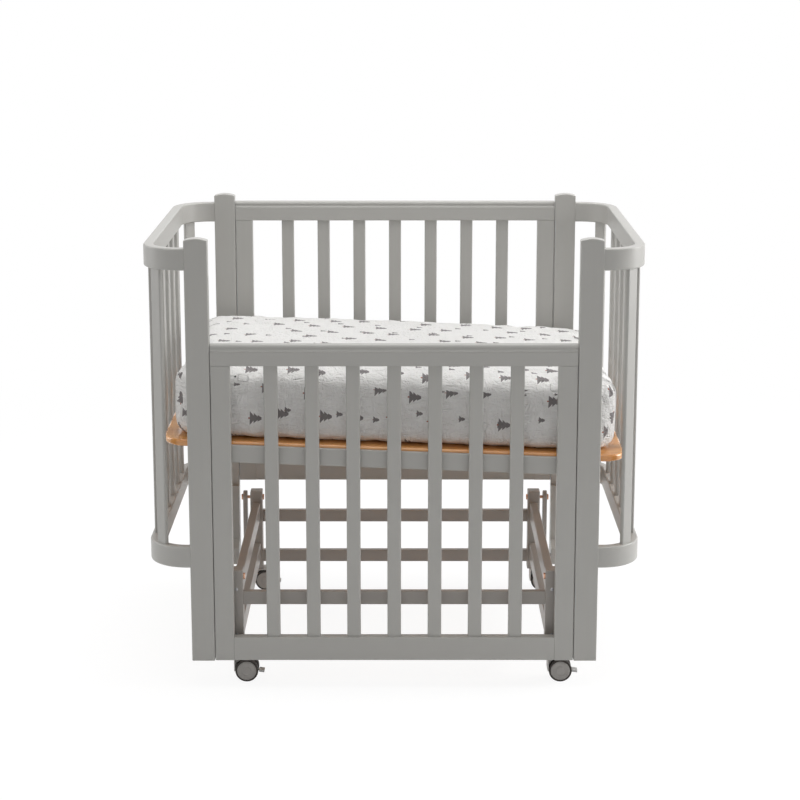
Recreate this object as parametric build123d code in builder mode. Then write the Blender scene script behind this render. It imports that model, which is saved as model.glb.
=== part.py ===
from build123d import *
import math
import os

os.makedirs("parts", exist_ok=True)

# A swinging crib on a wheeled pendulum base. All sizes are in millimetres.
# X runs along the crib, -Y is its front, and Z = 0 is the floor under the middle of the crib.

# Posts
post_width = 46.0
post_arch_rise = 4.2
post_top_rise = 17.0
post_span = 722.0
post_edge_round = 2.0
crib_depth = 660.0
foot_below_lower_pin = 22.0

# Front and rear panels, which are alike
panel_height = 650.5
panel_thickness = 20.0
panel_setback = 0.5
panel_side_gap = 1.3
panel_bed_gap = 1.5
panel_edge_round = 1.5
top_rail_height = 43.5
bottom_rail_height = 48.0
stile_width = 38.0
front_panel_lift = 1.5
panel_travel = 192.0

# Moulding along both faces of a panel's top rail
bead_height = 6.0
bead_depth = 5.0
bead_step = 1.2
cove_height = 7.5
cove_depth = 2.0
groove_height = 1.6
groove_depth = 1.0

# Slats
slat_width = 27.5
slat_thickness = 9.0
slat_edge_round = 3.0
slat_tenon = 10.0
panel_slat_count = 7
panel_slat_inset = 79.3
end_slat_count = 6
end_slat_inset = 30.0
corner_slat_turn = 45.0

# Tenons that join stiles and rails
frame_tenon_length = 12.0
frame_tenon_thickness = 8.0
frame_tenon_shoulder = 7.0

# Guide pins of the sliding front panel
guide_pin_radius = 3.5
guide_pin_clearance = 0.1
guide_pin_seat = 20.0
guide_pin_reach = 8.0
guide_pin_end_gap = 2.0
guide_pin_inset = 60.0

# Bent rails at the two ends
bent_rail_height = 43.0
bent_rail_thickness = 20.0
bent_rail_overhang = 87.0
bend_radius = 80.0
bent_rail_edge_round = 3.0
upper_bent_rail_drop = 3.0
lower_bent_rail_rise = 2.5
dowel_radius = 4.0
dowel_in_rail = 22.0
dowel_in_post = 14.0
dowel_spacing = 22.0

# Bed base, which is bolted in a little higher at the left end
bed_tilt = 2.2
board_height_in_crib = 436.3
board_thickness = 14.0
board_end_gap = 12.0
board_side_gap = 10.0
board_edge_round = 5.0
bed_rail_end_setback = 7.0
bed_rail_height = 35.0
bed_rail_thickness = 23.0
bed_rail_edge_round = 1.5
bed_lip_drop = 5.3
bed_lip_gap = 1.0
cross_rail_count = 3
cross_rail_pitch = 280.0
cross_rail_width = 40.0
cross_rail_height = 20.0

# Mattress
mattress_end_gap = 20.0
mattress_overhang = 2.0
mattress_height = 136.0
mattress_corner_radius = 62.0
mattress_edge_round = 26.0
mattress_foot_round = 20.0
mattress_side_draw = 3.0
mattress_crown = 8.0
mattress_clearance = 0.3

# Bolts and screws
bed_bolt_radius = 4.0
bed_bolt_head_radius = 6.5
bed_bolt_head_height = 6.0
bed_bolt_socket_radius = 3.2
bed_bolt_in_post = 16.0
panel_bolt_radius = 3.0
panel_bolt_head_radius = 6.5
panel_bolt_head_height = 4.0
panel_bolt_socket_radius = 2.7
panel_bolt_in_stile = 24.0
panel_bolt_inset = 110.0
screw_radius = 2.0
screw_head_radius = 4.0
screw_head_height = 2.4
hanger_screw_in_post = 14.0
base_screw_in_rail = 30.0

# Pendulum base
base_upright_width = 27.5
base_upright_depth = 30.0
base_upright_length = 185.5
base_hanger_gap = 5.0
base_edge_round = 2.0
side_rail_thickness = 18.0
side_rail_height = 39.0
upper_side_rail_rise = 120.0
lower_side_rail_rise = 23.5
side_rail_screw_rise = 6.0
crossbar_thickness = 14.0
crossbar_height = 28.0
crossbar_setback = 7.0
upper_crossbar_rise = 111.0
lower_crossbar_rise = 15.0

# Hanging links and their pins
link_length = 140.0
link_width = 30.0
link_thickness = 9.0
link_gap = 7.5
link_hanger_gap = 11.5
link_edge_round = 1.0
upper_pin_drop = 16.5
pin_radius = 3.5
pin_running_clearance = 0.05
pin_open_clearance = 0.3
pin_head_radius = 6.5
pin_head_height = 3.5
pin_side_play = 0.5
lower_pin_in_hanger = 24.0

# Hangers on the crib's posts
hanger_plate_thickness = 10.0
hanger_below_pin = 18.0
hanger_height = 178.0
hanger_boss_height = 38.0
hanger_boss_slope = 12.0
lower_hanger_screw_rise = 88.0
upper_hanger_screw_rise = 148.0

# Casters
wheel_radius = 23.4
wheel_width = 13.0
wheel_gap = 10.0
tyre_thickness = 4.0
tyre_inset = 0.8
hub_ring_radius = 7.8
hub_ring_depth = 0.7
hub_ring_width = 0.8
caster_trail = 18.7
axle_radius = 3.0
axle_clearance = 0.05
stem_radius = 4.0
stem_clearance = 0.05
stem_length = 24.0
housing_top_gap = 0.5
housing_cover = 3.1
housing_back_wall = 1.7
housing_past_axle = 7.3
housing_below_axle = 1.4
housing_width = 34.0
housing_wall = 2.0
housing_core_width = 13.0
housing_corner_round = 5.0
wheel_clearance = 0.6
cheek_thickness = 2.9
cheek_gap = 0.2
cheek_radius = 8.0
brake_play = 0.1
brake_ring_radius = 6.5
brake_arm_height = 4.0
pedal_length = 11.0
pedal_width = 16.0
pedal_height = 4.5
pedal_gap = 1.2
pedal_drop = 8.0

# Places worked out from the sizes above
SIDES = {"left": -1, "right": 1}
ROWS = {"front": -1, "rear": 1}
housing_top = 2 * wheel_radius + wheel_clearance + housing_cover
base_upright_bottom = housing_top + housing_top_gap
base_upright_top = base_upright_bottom + base_upright_length
upper_side_rail_z = base_upright_bottom + upper_side_rail_rise
lower_side_rail_z = base_upright_bottom + lower_side_rail_rise
upper_crossbar_z = base_upright_bottom + upper_crossbar_rise
lower_crossbar_z = base_upright_bottom + lower_crossbar_rise
upper_pin_z = base_upright_top - upper_pin_drop
lower_pin_z = upper_pin_z - link_length
hanger_bottom_z = lower_pin_z - hanger_below_pin
post_floor_gap = lower_pin_z - foot_below_lower_pin
front_panel_z = post_floor_gap + front_panel_lift
rear_panel_z = front_panel_z + panel_travel
upper_bent_rail_z = rear_panel_z + panel_height - upper_bent_rail_drop - bent_rail_height
lower_bent_rail_z = rear_panel_z + lower_bent_rail_rise
post_height = rear_panel_z + panel_height + post_top_rise - post_floor_gap
post_depth = panel_setback + panel_thickness + panel_bed_gap
post_inner_x = post_span / 2
post_outer_x = post_inner_x + post_width
post_center_x = post_inner_x + post_width / 2
post_outer_y = crib_depth / 2
post_inner_y = post_outer_y - post_depth
post_center_y = post_outer_y - post_depth / 2
panel_width = post_span - 2 * panel_side_gap
panel_center_y = post_outer_y - panel_setback - panel_thickness / 2
panel_rail_length = panel_width - 2 * stile_width
panel_slat_pitch = (panel_rail_length - 2 * panel_slat_inset) / (panel_slat_count - 1)
stile_center_x = panel_width / 2 - stile_width / 2
bent_rail_outer_y = post_center_y + bent_rail_thickness / 2
bent_rail_reach = post_outer_x + bent_rail_overhang
bend_center_x = bent_rail_reach - bend_radius
bend_center_y = bent_rail_outer_y - bend_radius
bend_center_radius = bend_radius - bent_rail_thickness / 2
end_slat_run = 2 * (bend_center_y - end_slat_inset)
end_slat_pitch = end_slat_run / (end_slat_count - 1)
upright_outer_x = post_inner_x - link_hanger_gap - link_thickness - link_gap
upright_inner_x = upright_outer_x - base_upright_width
upright_center_x = upright_outer_x - base_upright_width / 2
upright_outer_y = post_inner_y - hanger_plate_thickness - base_hanger_gap
upright_inner_y = upright_outer_y - base_upright_depth
upright_center_y = upright_outer_y - base_upright_depth / 2
crossbar_center_y = upright_outer_y - crossbar_setback - crossbar_thickness / 2
link_inner_x = upright_outer_x + link_gap
link_outer_x = link_inner_x + link_thickness
board_length = 2 * (bent_rail_reach - bent_rail_thickness - board_end_gap)
board_width = 2 * (post_inner_y - board_side_gap)
board_corner_radius = bend_radius - bent_rail_thickness - board_end_gap
bed_rail_length = 2 * (post_outer_x - bed_rail_end_setback)
mattress_length = 2 * (bent_rail_reach - bent_rail_thickness - mattress_end_gap)
mattress_width = board_width + 2 * mattress_overhang
bed_plane = Plane(
    origin=(0, 0, post_floor_gap + board_height_in_crib - board_thickness),
    x_dir=(math.cos(math.radians(bed_tilt)), 0, -math.sin(math.radians(bed_tilt))),
    z_dir=(math.sin(math.radians(bed_tilt)), 0, math.cos(math.radians(bed_tilt))),
)
bed_rail_top = board_thickness - bed_lip_drop
bed_bolt_drop = (bed_rail_height - bed_rail_top) / 2


def write(piece, label):
    """Name a finished piece and write it as a STEP file."""
    piece.part.label = label
    export_step(piece.part, f"parts/{label}.step")


def along_x(x, y, z, sense=1):
    """A plane square to X, with Y across it and Z up it where sense is 1."""
    return Plane(origin=(x, y, z), x_dir=(0, sense, 0), z_dir=(sense, 0, 0))


def along_y(x, y, z, sense=-1):
    """A plane square to Y, with X across it and Z up it where sense is -1."""
    return Plane(origin=(x, y, z), x_dir=(-sense, 0, 0), z_dir=(0, sense, 0))


def bed_bolt_z(x):
    """Height of the bolt through a bed rail at x, on the tilted bed."""
    return bed_plane.origin.Z - math.tan(math.radians(bed_tilt)) * x - bed_bolt_drop


def panel_bolt_heights():
    """The two heights of the bolts that hold the rear panel to a post."""
    return (rear_panel_z + panel_bolt_inset, rear_panel_z + panel_height - panel_bolt_inset)


def dowel_heights():
    """The four heights of the dowels that hold both bent rails to a post."""
    middles = (upper_bent_rail_z + bent_rail_height / 2, lower_bent_rail_z + bent_rail_height / 2)
    return [middle + end * dowel_spacing / 2 for middle in middles for end in (-1, 1)]


def guide_pin_heights():
    """The two heights of the guide pins in a stile of the lowered front panel."""
    return (front_panel_z + guide_pin_inset, front_panel_z + panel_height - guide_pin_inset)


def hanger_screw_heights():
    """The two heights of the screws through a hanger's plate."""
    return [hanger_bottom_z + rise for rise in (lower_hanger_screw_rise, upper_hanger_screw_rise)]


def hanger_screw_seats(out, back):
    """Planes on the face of one hanger's plate, at its screws."""
    plate_y = back * (post_inner_y - hanger_plate_thickness)
    return [along_y(out * post_center_x, plate_y, height, -back) for height in hanger_screw_heights()]


def base_screw_seats(out, back):
    """Planes at the screws into the side rails, then at those into the crossbars, of one upright."""
    x = out * upright_center_x
    rail_heights = [
        bottom + side_rail_height / 2 + side_rail_screw_rise
        for bottom in (lower_side_rail_z, upper_side_rail_z)
    ]
    bar_heights = [bottom + crossbar_height / 2 for bottom in (lower_crossbar_z, upper_crossbar_z)]
    into_rails = [along_y(x, back * upright_outer_y, height, back) for height in rail_heights]
    into_bars = [
        along_x(out * upright_outer_x, back * crossbar_center_y, height, out) for height in bar_heights
    ]
    return into_rails, into_bars


def countersunk_screw(grip, mode=Mode.ADD):
    """A screw at the current place, its head flush with the surface there."""
    sink = (Align.CENTER, Align.CENTER, Align.MAX)
    Cone(screw_radius, screw_head_radius, screw_head_height, align=sink, mode=mode)
    Cylinder(screw_radius, grip, align=sink, mode=mode)


def make_post(side, row):
    """A post with an arched top, its bolt and dowel holes and, at the front, a guide groove."""
    out = SIDES[side]
    back = ROWS[row]
    x = out * post_center_x
    shoulder = post_height - post_arch_rise
    with BuildPart() as post:
        with BuildSketch(along_y(x, back * post_center_y + post_depth / 2, post_floor_gap)):
            with BuildLine():
                Polyline(
                    (-post_width / 2, shoulder),
                    (-post_width / 2, 0),
                    (post_width / 2, 0),
                    (post_width / 2, shoulder),
                )
                ThreePointArc((post_width / 2, shoulder), (0, post_height), (-post_width / 2, shoulder))
            make_face()
        extrude(amount=post_depth)
        fillet(post.edges(), post_edge_round)
        with Locations(along_y(x, back * post_inner_y, bed_bolt_z(x), -back)):
            Hole(bed_bolt_radius, depth=bed_bolt_in_post)
        for height in hanger_screw_heights():
            with Locations(along_y(x, back * post_inner_y, height, -back)):
                Hole(screw_radius, depth=hanger_screw_in_post)
        for height in dowel_heights():
            with Locations(along_x(out * post_outer_x, back * post_center_y, height, out)):
                Hole(dowel_radius, depth=dowel_in_post)
        if row == "rear":
            for height in panel_bolt_heights():
                with Locations(along_x(out * post_outer_x, back * panel_center_y, height, out)):
                    CounterBoreHole(
                        panel_bolt_radius,
                        counter_bore_radius=panel_bolt_head_radius,
                        counter_bore_depth=panel_bolt_head_height,
                        depth=post_width,
                    )
        else:
            low_pin, high_pin = guide_pin_heights()
            groove_run = high_pin + panel_travel - low_pin
            middle = low_pin + groove_run / 2
            with BuildSketch(along_x(out * post_inner_x, back * panel_center_y, middle, -out)):
                SlotCenterToCenter(
                    groove_run, 2 * (guide_pin_radius + guide_pin_clearance), rotation=90
                )
            extrude(amount=-guide_pin_reach - guide_pin_end_gap, mode=Mode.SUBTRACT)
    write(post, f"{row}_post_{side}")


def make_panel(prefix, back, bottom_z, pin_radius_in_stile, pin_seat, pin_heights):
    """A moulded top rail, a bottom rail, two stiles and a row of slats."""
    y = back * panel_center_y
    half = panel_thickness / 2
    top_rail_z = bottom_z + panel_height - top_rail_height
    slat_foot_z = bottom_z + bottom_rail_height - slat_tenon
    slat_head_z = top_rail_z + slat_tenon
    cove_foot = top_rail_height - bead_height - cove_height
    cove_head = top_rail_height - bead_height
    stile_sides = [(side * stile_center_x, y) for side in SIDES.values()]
    rail_middle_z = bottom_z + bottom_rail_height / 2
    rail_ends = [(side * panel_rail_length / 2, y, rail_middle_z) for side in SIDES.values()]
    upper_tenon_width = stile_width - 2 * frame_tenon_shoulder
    lower_tenon_height = bottom_rail_height - 2 * frame_tenon_shoulder
    with BuildPart() as top_rail:
        with BuildSketch(along_x(-panel_width / 2, y, top_rail_z)):
            with BuildLine():
                Polyline(
                    (0, 0),
                    (half, 0),
                    (half, cove_foot - groove_height),
                    (half - groove_depth, cove_foot - groove_height / 2),
                    (half, cove_foot),
                )
                ThreePointArc(
                    (half, cove_foot),
                    (half - cove_depth, cove_foot + cove_height / 2),
                    (half - bead_step, cove_head),
                )
                TangentArc(
                    (half - bead_step, cove_head),
                    (half - bead_depth, top_rail_height),
                    tangent=(0, 1),
                )
                Line((half - bead_depth, top_rail_height), (0, top_rail_height))
                mirror(about=Plane.YZ)
            make_face()
        extrude(amount=panel_width)
        fillet(top_rail.edges().filter_by(Axis.X).group_by(Axis.Z)[0], panel_edge_round)
        with Locations(*[(x, y, top_rail_z) for x, y in stile_sides]):
            Box(
                upper_tenon_width,
                frame_tenon_thickness,
                frame_tenon_length,
                align=(Align.CENTER, Align.CENTER, Align.MIN),
                mode=Mode.SUBTRACT,
            )
        with BuildSketch(Plane.XY.offset(top_rail_z)):
            with Locations((0, y)):
                with GridLocations(panel_slat_pitch, 1, panel_slat_count, 1):
                    RectangleRounded(slat_width, slat_thickness, slat_edge_round)
        extrude(amount=slat_tenon, mode=Mode.SUBTRACT)
    write(top_rail, f"{prefix}_top_rail")

    with BuildPart() as bottom_rail:
        with BuildSketch(Plane.XY.offset(bottom_z)):
            with Locations((0, y)):
                Rectangle(panel_rail_length, panel_thickness)
        extrude(amount=bottom_rail_height)
        fillet(bottom_rail.edges().filter_by(Axis.X), panel_edge_round)
        with Locations(*rail_ends):
            Box(2 * frame_tenon_length, frame_tenon_thickness, lower_tenon_height)
        with BuildSketch(Plane.XY.offset(slat_foot_z)):
            with Locations((0, y)):
                with GridLocations(panel_slat_pitch, 1, panel_slat_count, 1):
                    RectangleRounded(slat_width, slat_thickness, slat_edge_round)
        extrude(amount=slat_tenon, mode=Mode.SUBTRACT)
    write(bottom_rail, f"{prefix}_bottom_rail")

    with BuildPart() as stiles:
        with BuildSketch(Plane.XY.offset(bottom_z)):
            with Locations(*stile_sides):
                Rectangle(stile_width, panel_thickness)
        extrude(amount=panel_height - top_rail_height)
        fillet(stiles.edges().filter_by(Axis.Z), panel_edge_round)
        with Locations(*[(x, y, top_rail_z) for x, y in stile_sides]):
            Box(
                upper_tenon_width,
                frame_tenon_thickness,
                frame_tenon_length,
                align=(Align.CENTER, Align.CENTER, Align.MIN),
            )
        with Locations(*rail_ends):
            Box(
                2 * frame_tenon_length,
                frame_tenon_thickness,
                lower_tenon_height,
                mode=Mode.SUBTRACT,
            )
        for side in SIDES.values():
            for height in pin_heights:
                with Locations(along_x(side * panel_width / 2, y, height, side)):
                    Hole(pin_radius_in_stile, depth=pin_seat)
    write(stiles, f"{prefix}_stiles")

    with BuildPart() as slats:
        with BuildSketch(Plane.XY.offset(slat_foot_z)):
            with Locations((0, y)):
                with GridLocations(panel_slat_pitch, 1, panel_slat_count, 1):
                    RectangleRounded(slat_width, slat_thickness, slat_edge_round)
        extrude(amount=slat_head_z - slat_foot_z)
    write(slats, f"{prefix}_slats")


def make_guide_pins():
    """Pins that stand out of the front panel's stiles into the posts' grooves."""
    with BuildPart() as pins:
        for side in SIDES.values():
            for height in guide_pin_heights():
                start = side * (panel_width / 2 - guide_pin_seat)
                with BuildSketch(along_x(start, -panel_center_y, height, side)):
                    Circle(guide_pin_radius)
                extrude(amount=guide_pin_seat + panel_side_gap + guide_pin_reach)
    write(pins, "guide_pins")


def make_panel_bolts():
    """Bolts from the rear posts' outer faces into the rear panel's stiles."""
    with BuildPart() as bolts:
        for side in SIDES.values():
            for height in panel_bolt_heights():
                head_face = side * post_outer_x
                with BuildSketch(along_x(head_face, panel_center_y, height, -side)):
                    Circle(panel_bolt_head_radius)
                extrude(amount=panel_bolt_head_height)
                with BuildSketch(along_x(head_face, panel_center_y, height, -side)):
                    Circle(panel_bolt_radius)
                extrude(amount=post_width + panel_side_gap + panel_bolt_in_stile)
                with BuildSketch(along_x(head_face, panel_center_y, height, -side)):
                    RegularPolygon(panel_bolt_socket_radius, 6)
                extrude(amount=panel_bolt_head_height / 2, mode=Mode.SUBTRACT)
    write(bolts, "rear_panel_bolts")


def end_slat_places(side):
    """Plan position and turn of each slat at one end, the corner slats last."""
    out = SIDES[side]
    line_x = out * (bent_rail_reach - bent_rail_thickness / 2)
    places = [
        (line_x, step * end_slat_pitch - end_slat_run / 2, 90) for step in range(end_slat_count)
    ]
    corner = bend_center_radius * math.sin(math.radians(corner_slat_turn))
    for back in ROWS.values():
        turn = -out * back * corner_slat_turn
        places.append((out * (bend_center_x + corner), back * (bend_center_y + corner), turn))
    return places


def make_end(side):
    """The upper and lower bent rails at one end, and the slats between them."""
    out = SIDES[side]
    slat_foot_z = lower_bent_rail_z + bent_rail_height - slat_tenon
    slat_head_z = upper_bent_rail_z + slat_tenon
    inboard = Align.MAX if out > 0 else Align.MIN
    inner_radius = bend_radius - bent_rail_thickness
    for level, bottom_z, slat_cut_z in (
        ("upper", upper_bent_rail_z, upper_bent_rail_z),
        ("lower", lower_bent_rail_z, slat_foot_z),
    ):
        with BuildPart() as rail:
            with BuildSketch(Plane.XY.offset(bottom_z)):
                RectangleRounded(2 * bent_rail_reach, 2 * bent_rail_outer_y, bend_radius)
                RectangleRounded(
                    2 * (bent_rail_reach - bent_rail_thickness),
                    2 * (bent_rail_outer_y - bent_rail_thickness),
                    inner_radius,
                    mode=Mode.SUBTRACT,
                )
                with Locations((out * post_outer_x, 0)):
                    Rectangle(
                        bent_rail_reach + post_outer_x,
                        2 * bent_rail_outer_y,
                        align=(inboard, Align.CENTER),
                        mode=Mode.SUBTRACT,
                    )
            extrude(amount=bent_rail_height)
            long_edges = rail.edges().filter_by(Plane.XY).filter_by(
                lambda edge: abs(edge.center().X) > post_outer_x + bent_rail_edge_round
            )
            fillet(long_edges, bent_rail_edge_round)
            with BuildSketch(Plane.XY.offset(slat_cut_z)):
                for x, y, turn in end_slat_places(side):
                    with Locations((x, y)):
                        RectangleRounded(slat_width, slat_thickness, slat_edge_round, rotation=turn)
            extrude(amount=slat_tenon, mode=Mode.SUBTRACT)
            for back in ROWS.values():
                for end in (-1, 1):
                    height = bottom_z + bent_rail_height / 2 + end * dowel_spacing / 2
                    with Locations(along_x(out * post_outer_x, back * post_center_y, height, -out)):
                        Hole(dowel_radius, depth=dowel_in_rail)
        write(rail, f"{level}_bent_rail_{side}")

    with BuildPart() as slats:
        with BuildSketch(Plane.XY.offset(slat_foot_z)):
            for x, y, turn in end_slat_places(side):
                with Locations((x, y)):
                    RectangleRounded(slat_width, slat_thickness, slat_edge_round, rotation=turn)
        extrude(amount=slat_head_z - slat_foot_z)
    write(slats, f"end_slats_{side}")


def make_rail_dowels():
    """Dowels that hold the bent rails' ends to the posts."""
    with BuildPart() as dowels:
        for out in SIDES.values():
            for back in ROWS.values():
                for height in dowel_heights():
                    start = out * (post_outer_x - dowel_in_post)
                    with BuildSketch(along_x(start, back * post_center_y, height, out)):
                        Circle(dowel_radius)
                    extrude(amount=dowel_in_post + dowel_in_rail)
    write(dowels, "rail_dowels")


def make_bed_board():
    """The board that the mattress lies on, with rounded corners and edges."""
    with BuildPart() as board:
        with BuildSketch(bed_plane):
            RectangleRounded(board_length, board_width, board_corner_radius)
        extrude(amount=board_thickness)
        along_normal = Axis(bed_plane.origin, bed_plane.z_dir)
        faces = board.faces().sort_by(along_normal)
        fillet(faces[0].edges() + faces[-1].edges(), board_edge_round)
    write(board, "bed_board")


def make_bed_rails():
    """The two long rails under the board, each with a lip before the board's edge."""
    lip_y = board_width / 2 + bed_lip_gap
    inner_y = post_inner_y - bed_rail_thickness
    rail_end = bed_plane.from_local_coords((-bed_rail_length / 2, 0, 0))
    with BuildPart() as rails:
        with BuildSketch(Plane(origin=rail_end, x_dir=(0, 1, 0), z_dir=bed_plane.x_dir)) as section:
            with BuildLine():
                Polyline(
                    (post_inner_y, bed_rail_top),
                    (post_inner_y, bed_rail_top - bed_rail_height),
                    (inner_y, bed_rail_top - bed_rail_height),
                    (inner_y, 0),
                    (lip_y, 0),
                    (lip_y, bed_rail_top),
                    close=True,
                )
            make_face()
            corners = section.vertices().group_by(Axis.Y)
            fillet(corners[0] + corners[-1], bed_rail_edge_round)
            mirror(about=Plane.YZ)
        extrude(amount=bed_rail_length)
        for back in ROWS.values():
            for out in SIDES.values():
                x = out * post_center_x
                with Locations(along_y(x, back * post_inner_y, bed_bolt_z(x), back)):
                    Hole(bed_bolt_radius, depth=bed_rail_thickness)
    write(rails, "bed_long_rails")

    with BuildPart() as cross_rails:
        with BuildSketch(bed_plane):
            with GridLocations(cross_rail_pitch, 1, cross_rail_count, 1):
                Rectangle(cross_rail_width, 2 * inner_y)
        extrude(amount=-cross_rail_height)
        fillet(cross_rails.edges().filter_by(Axis.Y).group_by(Axis.Z)[0], bed_rail_edge_round)
    write(cross_rails, "bed_cross_rails")


def make_bed_bolts():
    """Bolts through the bed rails into the posts, their heads under the bed."""
    with BuildPart() as bolts:
        for back in ROWS.values():
            for out in SIDES.values():
                x = out * post_center_x
                head_y = back * (post_inner_y - bed_rail_thickness - bed_bolt_head_height)
                with BuildSketch(along_y(x, head_y, bed_bolt_z(x), back)):
                    Circle(bed_bolt_head_radius)
                    RegularPolygon(bed_bolt_socket_radius, 6, mode=Mode.SUBTRACT)
                extrude(amount=bed_bolt_head_height / 2)
                with BuildSketch(along_y(x, head_y + back * bed_bolt_head_height / 2, bed_bolt_z(x), back)):
                    Circle(bed_bolt_head_radius)
                extrude(amount=bed_bolt_head_height / 2)
                with BuildSketch(along_y(x, head_y + back * bed_bolt_head_height, bed_bolt_z(x), back)):
                    Circle(bed_bolt_radius)
                extrude(amount=bed_rail_thickness + bed_bolt_in_post)
    write(bolts, "bed_bolts")


def mattress_outline():
    """The mattress seen from above, each side drawn in at its middle."""
    draw = mattress_side_draw
    half_x = mattress_length / 2
    half_y = mattress_width / 2
    run_x = half_x - mattress_corner_radius
    run_y = half_y - mattress_corner_radius
    bend = mattress_corner_radius * (1 - math.sqrt(2) / 2)
    with BuildLine() as outline:
        ThreePointArc((-run_x, half_y), (0, half_y - draw), (run_x, half_y))
        ThreePointArc((run_x, half_y), (half_x - bend, half_y - bend), (half_x, run_y))
        ThreePointArc((half_x, run_y), (half_x - draw, 0), (half_x, -run_y))
        ThreePointArc((half_x, -run_y), (half_x - bend, bend - half_y), (run_x, -half_y))
        ThreePointArc((run_x, -half_y), (0, draw - half_y), (-run_x, -half_y))
        ThreePointArc((-run_x, -half_y), (bend - half_x, bend - half_y), (-half_x, -run_y))
        ThreePointArc((-half_x, -run_y), (draw - half_x, 0), (-half_x, run_y))
        ThreePointArc((-half_x, run_y), (bend - half_x, half_y - bend), (-run_x, half_y))
    return outline.wire()


def make_mattress():
    """A cushion with a crowned top, drawn-in sides and soft edges, lying on the tilted board."""
    lying = bed_plane.offset(board_thickness + mattress_clearance)
    half_diagonal = math.hypot(mattress_length, mattress_width) / 2
    crown_radius = half_diagonal**2 / (2 * mattress_crown)
    along_normal = Axis(lying.origin, lying.z_dir)
    with BuildPart() as mattress:
        with BuildSketch(lying):
            add(mattress_outline())
            make_face()
        extrude(amount=mattress_height)
        with Locations(lying.offset(mattress_height - crown_radius)):
            Sphere(crown_radius, mode=Mode.INTERSECT)
        fillet(mattress.faces().sort_by(along_normal)[-1].edges(), mattress_edge_round)
        fillet(mattress.faces().sort_by(along_normal)[0].edges(), mattress_foot_round)
    write(mattress, "mattress")


def make_hangers():
    """Plates on the posts' inner faces, each with a boss that holds a link's lower pin."""
    plate_y = post_inner_y - hanger_plate_thickness
    boss_y = upright_inner_y
    boss_top = hanger_bottom_z + hanger_boss_height
    with BuildPart() as hangers:
        for out in SIDES.values():
            for back in ROWS.values():
                start = out * post_inner_x
                with BuildSketch(along_x(start, 0, 0, out)):
                    with BuildLine():
                        turn = out * back
                        Polyline(
                            (turn * post_inner_y, hanger_bottom_z),
                            (turn * boss_y, hanger_bottom_z),
                            (turn * boss_y, boss_top),
                            (turn * plate_y, boss_top + hanger_boss_slope),
                            (turn * plate_y, hanger_bottom_z + hanger_height),
                            (turn * post_inner_y, hanger_bottom_z + hanger_height),
                            close=True,
                        )
                    make_face()
                extrude(amount=post_width)
                with Locations(along_x(start, back * upright_center_y, lower_pin_z, -out)):
                    Hole(pin_radius, depth=lower_pin_in_hanger)
                for seat in hanger_screw_seats(out, back):
                    with Locations(seat):
                        countersunk_screw(hanger_plate_thickness, mode=Mode.SUBTRACT)
    write(hangers, "hangers")


def make_hanger_screws():
    """Screws through the hangers' plates into the posts."""
    with BuildPart() as screws:
        for out in SIDES.values():
            for back in ROWS.values():
                for seat in hanger_screw_seats(out, back):
                    with Locations(seat):
                        countersunk_screw(hanger_plate_thickness + hanger_screw_in_post)
    write(screws, "hanger_screws")


def make_base_upright(side, row):
    """An upright of the pendulum base, bored for its caster, link pin and screws."""
    out = SIDES[side]
    back = ROWS[row]
    x = out * upright_center_x
    y = back * upright_center_y
    into_rails, into_bars = base_screw_seats(out, back)
    with BuildPart() as upright:
        with BuildSketch(Plane.XY.offset(base_upright_bottom)):
            with Locations((x, y)):
                Rectangle(base_upright_width, base_upright_depth)
        extrude(amount=base_upright_top - base_upright_bottom)
        fillet(upright.edges(), base_edge_round)
        with Locations(Plane(origin=(x, y, base_upright_bottom), z_dir=(0, 0, -1))):
            Hole(stem_radius + stem_clearance, depth=stem_length + housing_top_gap)
        with Locations(along_x(out * upright_outer_x, y, upper_pin_z, out)):
            Hole(pin_radius, depth=base_upright_width)
        for seat in into_rails:
            with Locations(seat):
                countersunk_screw(base_upright_depth, mode=Mode.SUBTRACT)
        for seat in into_bars:
            with Locations(seat):
                countersunk_screw(base_upright_width, mode=Mode.SUBTRACT)
    write(upright, f"base_upright_{row}_{side}")


def make_base_side_rails(side):
    """The upper and lower rails that join the front and rear uprights on one side."""
    out = SIDES[side]
    with BuildPart() as rails:
        for bottom in (lower_side_rail_z, upper_side_rail_z):
            with BuildSketch(Plane.XY.offset(bottom)):
                with Locations((out * upright_center_x, 0)):
                    Rectangle(side_rail_thickness, 2 * upright_inner_y)
            extrude(amount=side_rail_height)
        fillet(rails.edges().filter_by(Axis.Y), base_edge_round)
        for back in ROWS.values():
            into_rails, _ = base_screw_seats(out, back)
            for seat in into_rails:
                with Locations(seat):
                    countersunk_screw(base_upright_depth + base_screw_in_rail, mode=Mode.SUBTRACT)
    write(rails, f"base_side_rails_{side}")


def make_base_crossbars(row):
    """The upper and lower bars that join the left and right uprights at the front or rear."""
    back = ROWS[row]
    with BuildPart() as bars:
        for bottom in (lower_crossbar_z, upper_crossbar_z):
            with BuildSketch(Plane.XY.offset(bottom)):
                with Locations((0, back * crossbar_center_y)):
                    Rectangle(2 * upright_inner_x, crossbar_thickness)
            extrude(amount=crossbar_height)
        fillet(bars.edges().filter_by(Axis.X), base_edge_round)
        for out in SIDES.values():
            _, into_bars = base_screw_seats(out, back)
            for seat in into_bars:
                with Locations(seat):
                    countersunk_screw(base_upright_width + base_screw_in_rail, mode=Mode.SUBTRACT)
    write(bars, f"base_crossbars_{row}")


def make_base_screws():
    """Screws through the uprights into the side rails and the crossbars."""
    with BuildPart() as screws:
        for out in SIDES.values():
            for back in ROWS.values():
                into_rails, into_bars = base_screw_seats(out, back)
                for seat in into_rails:
                    with Locations(seat):
                        countersunk_screw(base_upright_depth + base_screw_in_rail)
                for seat in into_bars:
                    with Locations(seat):
                        countersunk_screw(base_upright_width + base_screw_in_rail)
    write(screws, "base_screws")


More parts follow.
